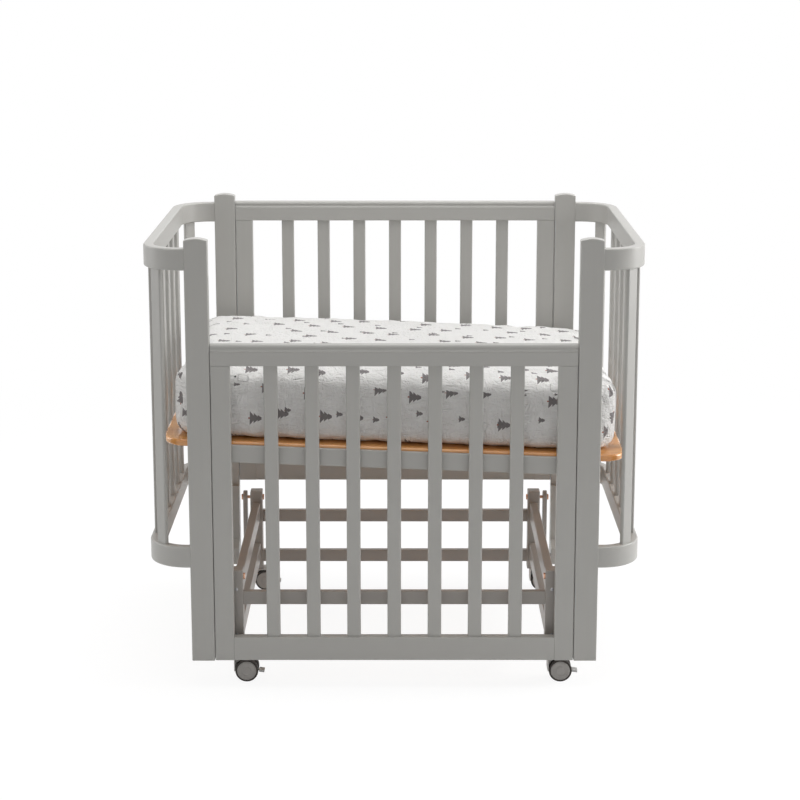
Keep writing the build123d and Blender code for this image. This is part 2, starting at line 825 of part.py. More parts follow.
def make_link(side, row):
    """A link with rounded ends that hangs the crib from an upright of the base."""
    out = SIDES[side]
    y = ROWS[row] * upright_center_y
    followed = side == "left" and row == "front"
    lower_clearance = pin_running_clearance if followed else pin_open_clearance
    with BuildPart() as link:
        with BuildSketch(along_x(out * link_inner_x, y, upper_pin_z - link_length / 2, out)):
            SlotCenterToCenter(link_length, link_width, rotation=90)
            with Locations((0, link_length / 2)):
                Circle(pin_radius + pin_running_clearance, mode=Mode.SUBTRACT)
            with Locations((0, -link_length / 2)):
                Circle(pin_radius + lower_clearance, mode=Mode.SUBTRACT)
        extrude(amount=link_thickness)
        rims = link.faces().filter_by(Axis.X).edges().filter_by(lambda edge: edge.length > link_width)
        fillet(rims, link_edge_round)
    write(link, f"link_{row}_{side}")


def make_pins(label, height, from_x, to_x, capped):
    """Four pins along X with a retaining head past the link and, where capped, one at the other end."""
    with BuildPart() as pins:
        for out in SIDES.values():
            for back in ROWS.values():
                sense = out if to_x > from_x else -out
                y = back * upright_center_y
                with BuildSketch(along_x(out * from_x, y, height, sense)):
                    Circle(pin_radius)
                extrude(amount=abs(to_x - from_x))
                with BuildSketch(along_x(out * to_x, y, height, sense)):
                    Circle(pin_head_radius)
                extrude(amount=pin_head_height)
                if capped:
                    with BuildSketch(along_x(out * from_x, y, height, -sense)):
                        Circle(pin_head_radius)
                    extrude(amount=pin_head_height)
    write(pins, label)


def make_caster(side, row):
    """A twin-wheel caster: housing with its stem, hubs on their axle, tyres and brake pedal."""
    x = SIDES[side] * upright_center_x
    y = ROWS[row] * upright_center_y
    middle = along_y(x, y, 0)
    axle = (caster_trail, wheel_radius)
    hub_radius = wheel_radius - tyre_thickness
    clear_radius = wheel_radius + wheel_clearance
    hood_back = caster_trail - clear_radius - housing_back_wall
    hood_front = caster_trail + housing_past_axle
    hood_bottom = wheel_radius - housing_below_axle
    hood_height = housing_top - hood_bottom
    cheek_outer = wheel_gap / 2 - cheek_gap
    cheek_inner = cheek_outer - cheek_thickness
    low_left = (Align.MIN, Align.MIN)

    with BuildPart() as housing:
        with BuildSketch(middle) as hood:
            with Locations((hood_back, hood_bottom)):
                Rectangle(hood_front - hood_back, hood_height, align=low_left)
            fillet(hood.vertices().group_by(Axis.Y)[-1], housing_corner_round)
            with Locations(axle):
                Circle(clear_radius, mode=Mode.SUBTRACT)
        extrude(amount=housing_width / 2, both=True)
        for sense in (-1, 1):
            shell = along_y(x, y + sense * housing_core_width / 2, 0, sense)
            with BuildSketch(shell):
                with Locations((-sense * (hood_front - housing_wall), hood_bottom)):
                    Rectangle(
                        hood_front - hood_back - 2 * housing_wall,
                        hood_height - housing_wall,
                        align=(Align.MIN if sense > 0 else Align.MAX, Align.MIN),
                    )
            extrude(amount=housing_width / 2, mode=Mode.SUBTRACT)
        for sense in (-1, 1):
            with BuildSketch(along_y(x, y + sense * cheek_inner, 0, sense)):
                with Locations((-sense * caster_trail, wheel_radius)):
                    Circle(cheek_radius)
                    Rectangle(
                        2 * cheek_radius,
                        housing_top - wheel_radius,
                        align=(Align.CENTER, Align.MIN),
                    )
                    Circle(axle_radius + axle_clearance, mode=Mode.SUBTRACT)
            extrude(amount=cheek_thickness)
        with BuildSketch(Plane.XY.offset(housing_top)):
            with Locations((x, y)):
                Circle(stem_radius)
        extrude(amount=stem_length)
    write(housing, f"caster_housing_{row}_{side}")

    with BuildPart() as hubs:
        with BuildSketch(middle):
            with Locations(axle):
                Circle(axle_radius)
        extrude(amount=wheel_gap / 2, both=True)
        for sense in (-1, 1):
            with BuildSketch(along_y(x, y + sense * wheel_gap / 2, 0, sense)):
                with Locations((-sense * caster_trail, wheel_radius)):
                    Circle(hub_radius)
            extrude(amount=wheel_width)
            with BuildSketch(along_y(x, y + sense * (wheel_gap / 2 + wheel_width), 0, sense)):
                with Locations((-sense * caster_trail, wheel_radius)):
                    Circle(hub_ring_radius)
                    Circle(hub_ring_radius - hub_ring_width, mode=Mode.SUBTRACT)
            extrude(amount=-hub_ring_depth, mode=Mode.SUBTRACT)
    write(hubs, f"caster_hubs_{row}_{side}")

    with BuildPart() as tyres:
        for sense in (-1, 1):
            with BuildSketch(along_y(x, y + sense * (wheel_gap / 2 + tyre_inset), 0, sense)):
                with Locations((-sense * caster_trail, wheel_radius)):
                    Circle(wheel_radius)
                    Circle(hub_radius, mode=Mode.SUBTRACT)
            extrude(amount=wheel_width - 2 * tyre_inset)
        outer_rims = tyres.edges().filter_by(GeomType.CIRCLE).filter_by(
            lambda edge: edge.radius > hub_radius + tyre_thickness / 2
        )
        fillet(outer_rims, tyre_inset)
    write(tyres, f"caster_tyres_{row}_{side}")

    with BuildPart() as brake:
        with BuildSketch(middle):
            with Locations(Location((*axle, 0), (0, 0, -pedal_drop))):
                Circle(brake_ring_radius)
                Rectangle(
                    wheel_radius + pedal_gap + pedal_length,
                    brake_arm_height,
                    align=(Align.MIN, Align.CENTER),
                )
                Circle(axle_radius + axle_clearance, mode=Mode.SUBTRACT)
        extrude(amount=cheek_inner - brake_play, both=True)
        with BuildSketch(middle):
            with Locations(Location((*axle, 0), (0, 0, -pedal_drop))):
                with Locations((wheel_radius + pedal_gap, 0)):
                    Rectangle(pedal_length, pedal_height, align=(Align.MIN, Align.CENTER))
        extrude(amount=pedal_width / 2, both=True)
    write(brake, f"caster_brake_{row}_{side}")


for row_name in ROWS:
    for side_name in SIDES:
        make_post(side_name, row_name)
        make_base_upright(side_name, row_name)
        make_link(side_name, row_name)
        make_caster(side_name, row_name)
    make_base_crossbars(row_name)
for side_name in SIDES:
    make_end(side_name)
    make_base_side_rails(side_name)

make_panel(
    "front_panel", ROWS["front"], front_panel_z, guide_pin_radius, guide_pin_seat, guide_pin_heights()
)
make_panel(
    "rear_panel", ROWS["rear"], rear_panel_z, panel_bolt_radius, panel_bolt_in_stile, panel_bolt_heights()
)
make_guide_pins()
make_panel_bolts()
make_rail_dowels()
make_bed_board()
make_bed_rails()
make_bed_bolts()
make_mattress()
make_hangers()
make_hanger_screws()
make_base_screws()
make_pins("upper_pins", upper_pin_z, upright_inner_x, link_outer_x + pin_side_play, True)
make_pins("lower_pins", lower_pin_z, post_inner_x + lower_pin_in_hanger, link_inner_x - pin_side_play, False)
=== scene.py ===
"""Pendulum crib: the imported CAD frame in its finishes, with its mattress, screw heads, hub caps and studio."""
import logging
import math
from dataclasses import dataclass
from enum import Enum
from typing import Iterable

import bmesh
import bpy
import numpy as np
from mathutils import Matrix, Vector


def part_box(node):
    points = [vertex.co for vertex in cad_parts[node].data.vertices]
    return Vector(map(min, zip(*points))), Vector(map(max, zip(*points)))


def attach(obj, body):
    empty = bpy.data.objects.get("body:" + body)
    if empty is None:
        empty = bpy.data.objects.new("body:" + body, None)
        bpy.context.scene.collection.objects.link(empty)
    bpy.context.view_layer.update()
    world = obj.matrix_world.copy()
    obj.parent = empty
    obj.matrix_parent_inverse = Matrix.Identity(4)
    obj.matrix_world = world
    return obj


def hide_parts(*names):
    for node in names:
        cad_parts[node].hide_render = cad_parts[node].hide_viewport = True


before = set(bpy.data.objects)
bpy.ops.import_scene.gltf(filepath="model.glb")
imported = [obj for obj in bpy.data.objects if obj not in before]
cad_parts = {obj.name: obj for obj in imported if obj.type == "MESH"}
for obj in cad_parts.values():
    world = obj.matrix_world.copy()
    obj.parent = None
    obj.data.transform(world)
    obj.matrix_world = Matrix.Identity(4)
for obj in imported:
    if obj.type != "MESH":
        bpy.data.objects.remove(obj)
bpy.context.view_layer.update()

LOG = logging.getLogger("pendulum_crib")
MM = 0.001
Colour = tuple[float, float, float]
Inputs = dict[str | int, object]
Socket, Node, Tree = bpy.types.NodeSocket, bpy.types.Node, bpy.types.NodeTree
Material, Mesh, Piece = bpy.types.Material, bpy.types.Mesh, bpy.types.Object
Sockets = bpy.types.bpy_prop_collection


class Row(Enum):
    """Front or rear of the crib."""

    FRONT = "front"
    REAR = "rear"


class Side(Enum):
    """Left or right end of the crib."""

    LEFT = "left"
    RIGHT = "right"


class Axis(Enum):
    """The way that a piece's grain runs."""

    X = 0
    Y = 1
    Z = 2

    def stretch(self, across: float) -> tuple[float, float, float]:
        """Scales that leave this axis alone and multiply the other two by across."""
        return tuple(1.0 if index == self.value else across for index in range(3))


class Effect(Enum):
    """Shader effects that several materials share, each one node group."""

    EDGE_WEAR_AND_HIGHLIGHT = "Edge wear"
    PAINT_FILM = "Paint film"
    WOOD_GRAIN = "Wood grain"
    MOULDED_SKIN = "Moulded skin"
    BRUSHED = "Brushed metal"
    WOVEN_COTTON = "Woven cotton"
    FIR_TREE = "Fir tree"
    FIR_PRINT = "Fir print"
    STITCHED_PATCH = "Stitched patch"


CORNERS = tuple(f"{row.value}_{side.value}" for row in Row for side in Side)


class Graph:
    """Adds nodes to one node tree and links them."""

    def __init__(self, tree: Tree) -> None:
        """Keeps the tree that the nodes go into."""
        self.tree = tree

    def node(self, kind: str, inputs: Inputs | None = None, **settings: object) -> Node:
        """Adds one node.

        Args:
            kind: the node's type.
            inputs: what goes into its sockets, a constant or another node's output.
            settings: the node's own properties.

        Returns:
            The node.
        """
        node = self.tree.nodes.new(kind)
        for key, value in settings.items():
            setattr(node, key, value)
        for key, value in (inputs or {}).items():
            if isinstance(value, Socket):
                self.tree.links.new(value, node.inputs[key])
            else:
                node.inputs[key].default_value = value
        return node

    def calc(self, operation: str, a: object, b: object = 0.0, c: object = 0.0) -> Socket:
        """The result of one Math node."""
        return self.node("ShaderNodeMath", {0: a, 1: b, 2: c}, operation=operation).outputs[0]

    def times(self, a: object, b: object) -> Socket:
        """a multiplied by b."""
        return self.calc("MULTIPLY", a, b)

    def minus(self, a: object, b: object) -> Socket:
        """b taken from a."""
        return self.calc("SUBTRACT", a, b)

    def line(self, value: object, slope: object, start: object) -> Socket:
        """The value times the slope, added to the start."""
        return self.calc("MULTIPLY_ADD", value, slope, start)

    def spread(self, value: object, low: float, high: float, to_low: float, to_high: float) -> Socket:
        """The value taken from low..high to to_low..to_high and held there."""
        return self.node("ShaderNodeMapRange", {0: value, 1: low, 2: high, 3: to_low, 4: to_high}).outputs[0]

    def mix(self, factor: object, a: object, b: object) -> Socket:
        """Colour a where the factor is 0 and colour b where it is 1."""
        return self.node("ShaderNodeMix", {0: factor, 6: a, 7: b}, data_type="RGBA").outputs[2]

    def noise(self, place: object, scale: float, detail: float = 2.0, distortion: float = 0.0) -> Socket:
        """Noise between 0 and 1, with scale lumps to the metre."""
        inputs = {"Vector": place, "Scale": scale, "Detail": detail, "Distortion": distortion}
        return self.node("ShaderNodeTexNoise", inputs).outputs[0]

    def shade(self, colour: object, amount: object) -> Socket:
        """The colour made darker or lighter by amount."""
        return self.node("ShaderNodeVectorMath", {0: colour, "Scale": amount}, operation="SCALE").outputs[0]

    def scaled(self, place: object, scale: tuple[float, float, float]) -> Socket:
        """The place multiplied by one scale for each axis."""
        return self.node("ShaderNodeMapping", {"Vector": place, "Scale": scale}).outputs[0]

    def object_place(self) -> Socket:
        """The object's own coordinates, in metres."""
        return self.node("ShaderNodeTexCoord").outputs["Object"]

    def effect(self, effect: Effect, inputs: Inputs) -> Node:
        """Places one shared effect, which is built the first time that it is asked for."""
        return self.node("ShaderNodeGroup", inputs, node_tree=EFFECTS.tree(effect))


@dataclass(frozen=True)
class FirNet:
    """One net of firs: its cell, and the size, tiers and seed of the firs in it."""

    cell_along: float
    cell_across: float
    height: float
    half_width: float
    tiers: float
    seed: float


FIR_NETS = (FirNet(0.072, 0.058, 0.0235, 0.0142, 3.0, 1.0), FirNet(0.081, 0.067, 0.012, 0.0072, 2.0, 5.0))


class EffectLibrary:
    """Builds each shared effect once."""

    FLOAT = "NodeSocketFloat"
    COLOUR = "NodeSocketColor"
    VECTOR = "NodeSocketVector"
    SURFACE = {"Colour": COLOUR, "Roughness": FLOAT, "Height": FLOAT}
    SQUARENESS = 5.0

    def tree(self, effect: Effect) -> Tree:
        """The node group of an effect."""
        return bpy.data.node_groups.get(effect.value) or getattr(self, effect.name.lower())(effect.value)

    def start(self, name: str, inputs: dict[str, str],
              outputs: dict[str, str]) -> tuple[Graph, Sockets, Node]:
        """Opens a node group.

        Args:
            name: the group's name.
            inputs: the kind of each input socket, by name.
            outputs: the kind of each output socket, by name.

        Returns:
            The graph to build in, what the group is given, and its output node.
        """
        tree = bpy.data.node_groups.new(name, "ShaderNodeTree")
        for key, kind in inputs.items():
            tree.interface.new_socket(name=key, in_out="INPUT", socket_type=kind)
        for key, kind in outputs.items():
            tree.interface.new_socket(name=key, in_out="OUTPUT", socket_type=kind)
        graph = Graph(tree)
        return graph, graph.node("NodeGroupInput").outputs, graph.node("NodeGroupOutput")

    def finish(self, graph: Graph, last: Node, results: dict[str, Socket]) -> Tree:
        """Links the results to the group's output node and returns the group.

        Args:
            graph: the graph to build in.
            last: the group's output node.
            results: what each output socket gets.

        Returns:
            The group.
        """
        for key, socket in results.items():
            graph.tree.links.new(socket, last.inputs[key])
        return graph.tree

    def edge_wear_and_highlight(self, name: str) -> Tree:
        """A mask of the edges, broken up by noise: finish rubbed thin, and a painted highlight of rounded edges.

        Args:
            name: the group's name.

        Returns:
            The group.
        """
        inputs = {"Place": self.VECTOR, "Radius": self.FLOAT}
        graph, given, last = self.start(name, inputs, {"Mask": self.FLOAT})
        rounded = graph.node("ShaderNodeBevel", {"Radius": given["Radius"]}, samples=4).outputs[0]
        straight = graph.node("ShaderNodeNewGeometry").outputs["Normal"]
        agree = graph.node("ShaderNodeVectorMath", {0: rounded, 1: straight}, operation="DOT_PRODUCT")
        edge = graph.spread(agree.outputs["Value"], 0.99, 0.86, 0.0, 1.0)
        broken = graph.spread(graph.noise(given["Place"], 90.0, 3.0), 0.35, 0.65, 0.35, 1.0)
        return self.finish(graph, last, {"Mask": graph.times(edge, broken)})

    def paint_film(self, name: str) -> Tree:
        """Sprayed paint over planed wood: faint clouds of tone, lines of the grain below, and orange peel.

        Args:
            name: the group's name.

        Returns:
            The group.
        """
        inputs = {"Place": self.VECTOR, "Grain": self.VECTOR, "Colour": self.COLOUR, "Gloss": self.FLOAT}
        graph, given, last = self.start(name, inputs, self.SURFACE)
        clouds = graph.noise(given["Place"], 5.0, 3.0)
        lines = graph.noise(given["Grain"], 9.0, 4.0, 0.3)
        tone = graph.line(clouds, 0.05, 0.962)
        tone = graph.line(lines, 0.026, tone)
        wear_and_highlight = graph.effect(Effect.EDGE_WEAR_AND_HIGHLIGHT, {"Place": given["Place"], "Radius": 1.4 * MM}).outputs["Mask"]
        # Edges lighter: partly paint rubbed thin, partly a painted highlight where rounded edges catch the
        # light.
        tone = graph.line(wear_and_highlight, 0.15, tone)
        peel = graph.noise(given["Place"], 620.0, 1.0)
        rough = graph.line(clouds, 0.12, given["Gloss"])
        rough = graph.line(wear_and_highlight, -0.08, rough)
        height = graph.line(lines, 0.8, peel)
        return self.finish(graph, last, {"Colour": graph.shade(given["Colour"], tone), "Roughness": rough,
                                         "Height": height})

    def wood_grain(self, name: str) -> Tree:
        """Straight beech grain: broad bands, fine fibres and short dark flecks.

        Args:
            name: the group's name.

        Returns:
            The group.
        """
        inputs = {"Grain": self.VECTOR, "Light": self.COLOUR, "Dark": self.COLOUR, "Roughness": self.FLOAT}
        graph, given, last = self.start(name, inputs, self.SURFACE)
        bands = graph.noise(given["Grain"], 1.6, 3.0, 0.9)
        fibres = graph.noise(given["Grain"], 22.0, 3.0, 0.2)
        flecks = graph.spread(graph.noise(given["Grain"], 34.0, 1.0), 0.66, 0.74, 0.0, 1.0)
        depth = graph.line(bands, 0.75, graph.times(fibres, 0.35))
        colour = graph.mix(graph.spread(depth, 0.3, 0.8, 0.0, 1.0), given["Light"], given["Dark"])
        colour = graph.shade(colour, graph.line(flecks, -0.16, 1.0))
        height = graph.line(flecks, -0.7, fibres)
        rough = graph.line(fibres, 0.12, given["Roughness"])
        return self.finish(graph, last, {"Colour": colour, "Roughness": rough, "Height": height})

    def moulded_skin(self, name: str) -> Tree:
        """Spark-eroded plastic with handling marks.

        Args:
            name: the group's name.

        Returns:
            The group.
        """
        inputs = {"Place": self.VECTOR, "Colour": self.COLOUR, "Roughness": self.FLOAT, "Grit": self.FLOAT}
        graph, given, last = self.start(name, inputs, self.SURFACE)
        marks = graph.noise(given["Place"], 60.0, 4.0)
        skin = graph.noise(given["Place"], given["Grit"], 2.0)
        tone = graph.line(marks, 0.1, 0.94)
        tone = graph.line(skin, 0.03, tone)
        rough = graph.line(marks, 0.16, given["Roughness"])
        return self.finish(graph, last, {"Colour": graph.shade(given["Colour"], tone), "Roughness": rough,
                                         "Height": skin})

    def brushed(self, name: str) -> Tree:
        """Plated metal with fine draw lines and a little dulling.

        Args:
            name: the group's name.

        Returns:
            The group.
        """
        inputs = {"Place": self.VECTOR, "Grain": self.VECTOR, "Colour": self.COLOUR}
        graph, given, last = self.start(name, inputs, self.SURFACE)
        lines = graph.noise(given["Grain"], 90.0, 2.0)
        dull = graph.noise(given["Place"], 140.0, 3.0)
        tone = graph.line(dull, 0.22, 0.84)
        rough = graph.line(lines, 0.18, graph.line(dull, 0.14, 0.14))
        return self.finish(graph, last, {"Colour": graph.shade(given["Colour"], tone), "Roughness": rough,
                                         "Height": lines})

    def woven_cotton(self, name: str) -> Tree:
        """Plain weave on the cover's own coordinates, with slubs and washed-in crinkles.

        Args:
            name: the group's name.

        Returns:
            The group.
        """
        inputs = {"Along": self.FLOAT, "Across": self.FLOAT, "Place": self.VECTOR, "Thread": self.FLOAT}
        outputs = {"Tone": self.FLOAT, "Weave": self.FLOAT, "Crinkle": self.FLOAT}
        graph, given, last = self.start(name, inputs, outputs)
        turns = graph.calc("DIVIDE", math.tau, given["Thread"])
        warp = graph.calc("SINE", graph.times(given["Along"], turns))
        weft = graph.calc("SINE", graph.times(given["Across"], turns))
        weave = graph.line(graph.times(warp, weft), 0.5, 0.5)
        slubs = graph.noise(graph.scaled(given["Place"], (1.0, 9.0, 9.0)), 34.0, 2.0)
        crinkle: object = 0.0
        for stretch, scale in (((0.5, 1.0, 1.7), 62.0), ((1.5, 1.0, 0.6), 47.0)):
            folds = graph.noise(graph.scaled(given["Place"], stretch), scale, 3.0, 1.1)
            ridge = graph.calc("ABSOLUTE", graph.line(folds, 2.0, -1.0))
            crinkle = graph.line(ridge, -1.0, crinkle)
        tone = graph.line(slubs, 0.05, 0.955)
        tone = graph.line(weave, 0.02, tone)
        return self.finish(graph, last, {"Tone": tone, "Weave": weave, "Crinkle": crinkle})

    def fir_tree(self, name: str) -> Tree:
        """One fir of stacked tiers lying along its own axis, with a short trunk and combed needles.

        Args:
            name: the group's name.

        Returns:
            The group.
        """
        inputs = {key: self.FLOAT for key in ("Along", "Across", "Height", "Half width", "Tiers")}
        graph, given, last = self.start(name, inputs, {"Needles": self.FLOAT, "Trunk": self.FLOAT})
        along, height = given["Along"], given["Height"]
        off_axis = graph.calc("ABSOLUTE", given["Across"])
        climb = graph.calc("ADD", graph.calc("DIVIDE", along, height), 0.5)
        step = graph.times(climb, given["Tiers"])
        tier = graph.calc("FLOOR", step)
        envelope = graph.line(graph.calc("DIVIDE", tier, given["Tiers"]), -0.8, 1.0)
        taper = graph.line(graph.minus(step, tier), -0.64, 1.0)
        edge = graph.times(graph.times(envelope, taper), given["Half width"])
        inside = graph.spread(graph.minus(edge, off_axis), -0.25 * MM, 0.25 * MM, 0.0, 1.0)
        inside = graph.times(inside, graph.calc("GREATER_THAN", climb, 0.0))
        inside = graph.times(inside, graph.calc("LESS_THAN", climb, 1.0))
        comb = graph.calc("SINE", graph.times(graph.line(off_axis, 0.6, along), 4200.0))
        needles = graph.times(inside, graph.line(comb, 0.12, 0.86))
        stem = graph.times(graph.calc("GREATER_THAN", climb, -0.13), graph.calc("LESS_THAN", climb, 0.0))
        slim = graph.calc("LESS_THAN", off_axis, graph.times(height, 0.055))
        return self.finish(graph, last, {"Needles": needles, "Trunk": graph.times(stem, slim)})

    def fir_print(self, name: str) -> Tree:
        """Large and small firs scattered over the cloth on two brick-laid nets.

        Args:
            name: the group's name.

        Returns:
            The group.
        """
        inputs = {"Along": self.FLOAT, "Across": self.FLOAT}
        graph, given, last = self.start(name, inputs, {"Needles": self.FLOAT, "Trunk": self.FLOAT})
        found: dict[str, list[Socket]] = {"Needles": [], "Trunk": []}
        for net in FIR_NETS:
            rows = graph.calc("DIVIDE", given["Across"], net.cell_across)
            row = graph.calc("FLOOR", rows)
            brick = graph.calc("FRACT", graph.times(row, 0.5))
            columns = graph.minus(graph.calc("DIVIDE", given["Along"], net.cell_along), brick)
            column = graph.calc("FLOOR", columns)
            cell = graph.node("ShaderNodeCombineXYZ", {"X": column, "Y": row, "Z": net.seed}).outputs[0]
            chance = graph.node("ShaderNodeTexWhiteNoise", {"Vector": cell}, noise_dimensions="3D")
            chances = graph.node("ShaderNodeSeparateColor", {0: chance.outputs["Color"]})
            along = graph.minus(graph.minus(columns, column), 0.5)
            along = graph.line(graph.minus(chances.outputs[0], 0.5), 0.3, along)
            across = graph.minus(graph.minus(rows, row), 0.5)
            across = graph.line(graph.minus(chances.outputs[1], 0.5), 0.3, across)
            tree = graph.effect(Effect.FIR_TREE, {
                "Along": graph.times(along, net.cell_along),
                "Across": graph.times(across, net.cell_across),
                "Height": net.height, "Half width": net.half_width, "Tiers": net.tiers})
            kept = graph.calc("GREATER_THAN", chances.outputs[2], 0.1)
            for key, parts in found.items():
                parts.append(graph.times(tree.outputs[key], kept))
        both = {key: graph.calc("MAXIMUM", parts[0], parts[1]) for key, parts in found.items()}
        return self.finish(graph, last, both)

    def stitched_patch(self, name: str) -> Tree:
        """The stitch line of a small rounded square sewn to the cover, and how far the patch stands up.

        Args:
            name: the group's name.

        Returns:
            The group.
        """
        inputs = {"Along": self.FLOAT, "Across": self.FLOAT, "Half size": self.FLOAT}
        graph, given, last = self.start(name, inputs, {"Stitch": self.FLOAT, "Rise": self.FLOAT})
        powers = []
        for key in ("Along", "Across"):
            share = graph.calc("ABSOLUTE", graph.calc("DIVIDE", given[key], given["Half size"]))
            powers.append(graph.calc("POWER", share, self.SQUARENESS))
        size = graph.calc("POWER", graph.calc("ADD", *powers), 1.0 / self.SQUARENESS)
        ring = graph.spread(graph.calc("ABSOLUTE", graph.minus(size, 1.0)), 0.04, 0.1, 1.0, 0.0)
        slant = graph.calc("ADD", given["Along"], given["Across"])
        run = graph.calc("SINE", graph.times(slant, 3300.0))
        stitch = graph.times(ring, graph.spread(run, -0.5, 0.0, 0.35, 1.0))
        return self.finish(graph, last, {"Stitch": stitch, "Rise": graph.spread(size, 1.0, 1.15, 1.0, 0.0)})


EFFECTS = EffectLibrary()


def blank(name: str, constants: Inputs) -> tuple[Material, Graph, Node]:
    """Makes a material with one Principled shader.

    Args:
        name: the material's name.
        constants: what is the same all over the surface, by socket.

    Returns:
        The material, its graph and the shader.
    """
    material = bpy.data.materials.new(name)
    material.use_nodes = True
    material.node_tree.nodes.clear()
    graph = Graph(material.node_tree)
    shader = graph.node("ShaderNodeBsdfPrincipled", constants)
    graph.node("ShaderNodeOutputMaterial", {"Surface": shader.outputs[0]})
    return material, graph, shader


def surface(name: str, constants: Inputs, effect: Effect, values: Inputs, depth: float,
            grain: tuple[float, float, float] = (1.0, 1.0, 1.0)) -> Material:
    """Makes a material from one shared effect, or finds the one made before.

    Args:
        name: the material's name.
        constants: what is the same all over the surface, by socket.
        effect: the shared effect.
        values: what the effect is given, besides its coordinates.
        depth: how deep the relief is, in metres.
        grain: how the coordinates of the grain are stretched.

    Returns:
        The material.
    """
    if name in bpy.data.materials:
        return bpy.data.materials[name]
    material, graph, shader = blank(name, constants)
    made = graph.effect(effect, values)
    place = graph.object_place()
    if "Place" in made.inputs:
        graph.tree.links.new(place, made.inputs["Place"])
    if "Grain" in made.inputs:
        graph.tree.links.new(graph.scaled(place, grain), made.inputs["Grain"])
    relief = {"Strength": 1.0, "Distance": depth, "Height": made.outputs["Height"]}
    graph.tree.links.new(made.outputs["Colour"], shader.inputs["Base Color"])
    graph.tree.links.new(made.outputs["Roughness"], shader.inputs["Roughness"])
    graph.tree.links.new(graph.node("ShaderNodeBump", relief).outputs[0], shader.inputs["Normal"])
    return material


@dataclass(frozen=True)
class Paint:
    """Satin paint sprayed on planed beech."""

    name: str
    colour: Colour
    gloss: float = 0.31
    across: float = 26.0
    depth: float = 0.03 * MM

    def material(self, axis: Axis) -> Material:
        """The paint on a piece whose grain runs along one axis."""
        values = {"Colour": (*self.colour, 1.0), "Gloss": self.gloss}
        return surface(f"{self.name}_along_{axis.name.lower()}", {"Specular IOR Level": 0.5},
                       Effect.PAINT_FILM, values, self.depth, axis.stretch(self.across))


@dataclass(frozen=True)
class Wood:
    """Beech, bare or under varnish."""

    name: str
    light: Colour
    dark: Colour
    coat: float = 0.0
    coat_roughness: float = 0.1
    roughness: float = 0.5
    across: float = 18.0
    depth: float = 0.05 * MM

    def material(self, axis: Axis) -> Material:
        """The wood of a piece whose grain runs along one axis."""
        values = {"Light": (*self.light, 1.0), "Dark": (*self.dark, 1.0), "Roughness": self.roughness}
        return surface(f"{self.name}_along_{axis.name.lower()}",
                       {"Coat Weight": self.coat, "Coat Roughness": self.coat_roughness},
                       Effect.WOOD_GRAIN, values, self.depth, axis.stretch(self.across))


@dataclass(frozen=True)
class Moulding:
    """Moulded plastic or rubber."""

    name: str
    colour: Colour
    roughness: float = 0.4
    grit: float = 1500.0
    depth: float = 0.04 * MM

    def material(self) -> Material:
        """The plastic."""
        values = {"Colour": (*self.colour, 1.0), "Roughness": self.roughness, "Grit": self.grit}
        return surface(self.name, {"Specular IOR Level": 0.45}, Effect.MOULDED_SKIN, values, self.depth)


@dataclass(frozen=True)
class Plating:
    """Plated steel, drawn or turned."""

    name: str
    colour: Colour
    across: float = 14.0
    depth: float = 0.01 * MM

    def material(self, axis: Axis = Axis.Y) -> Material:
        """The metal, with its draw lines along one axis."""
        return surface(self.name, {"Metallic": 1.0}, Effect.BRUSHED, {"Colour": (*self.colour, 1.0)},
                       self.depth, axis.stretch(self.across))


@dataclass(frozen=True)
class Cotton:
    """White cotton printed with firs."""

    name: str
    uv_map: str
    patches: tuple[tuple[float, float], ...]
    patch_half: float = 10 * MM
    cloth: Colour = (0.81, 0.8, 0.785)
    needles: Colour = (0.118, 0.1, 0.102)
    trunk: Colour = (0.36, 0.1, 0.05)
    stitch: Colour = (0.42, 0.41, 0.4)
    thread: float = 1.1 * MM
    depth: float = 3.8 * MM

    def material(self) -> Material:
        """The printed cloth.

        Returns:
            The material.
        """
        material, graph, shader = blank(self.name, {
            "Roughness": 0.88, "Specular IOR Level": 0.25, "Sheen Weight": 0.2, "Sheen Roughness": 0.5})
        place = graph.object_place()
        laid = graph.node("ShaderNodeUVMap", uv_map=self.uv_map).outputs[0]
        cover = graph.node("ShaderNodeSeparateXYZ", {0: laid})
        along, across = cover.outputs[0], cover.outputs[1]
        weave = graph.effect(Effect.WOVEN_COTTON, {
            "Along": along, "Across": across, "Place": place, "Thread": self.thread})
        print_ = graph.effect(Effect.FIR_PRINT, {"Along": along, "Across": across})
        colour = graph.mix(print_.outputs["Needles"], (*self.cloth, 1.0), (*self.needles, 1.0))
        colour = graph.mix(print_.outputs["Trunk"], colour, (*self.trunk, 1.0))
        height = graph.line(weave.outputs["Weave"], 0.03, weave.outputs["Crinkle"])
        for centre_along, centre_across in self.patches:
            patch = graph.effect(Effect.STITCHED_PATCH, {
                "Along": graph.minus(along, centre_along),
                "Across": graph.minus(across, centre_across), "Half size": self.patch_half})
            colour = graph.mix(patch.outputs["Rise"], colour, (*self.cloth, 1.0))
            colour = graph.mix(graph.times(patch.outputs["Stitch"], 0.8), colour, (*self.stitch, 1.0))
            height = graph.line(patch.outputs["Rise"], 0.6, height)
            height = graph.line(patch.outputs["Stitch"], -0.5, height)
        bump = graph.node("ShaderNodeBump", {"Strength": 1.0, "Distance": self.depth, "Height": height})
        graph.tree.links.new(graph.shade(colour, weave.outputs["Tone"]), shader.inputs["Base Color"])
        graph.tree.links.new(bump.outputs[0], shader.inputs["Normal"])
        return material


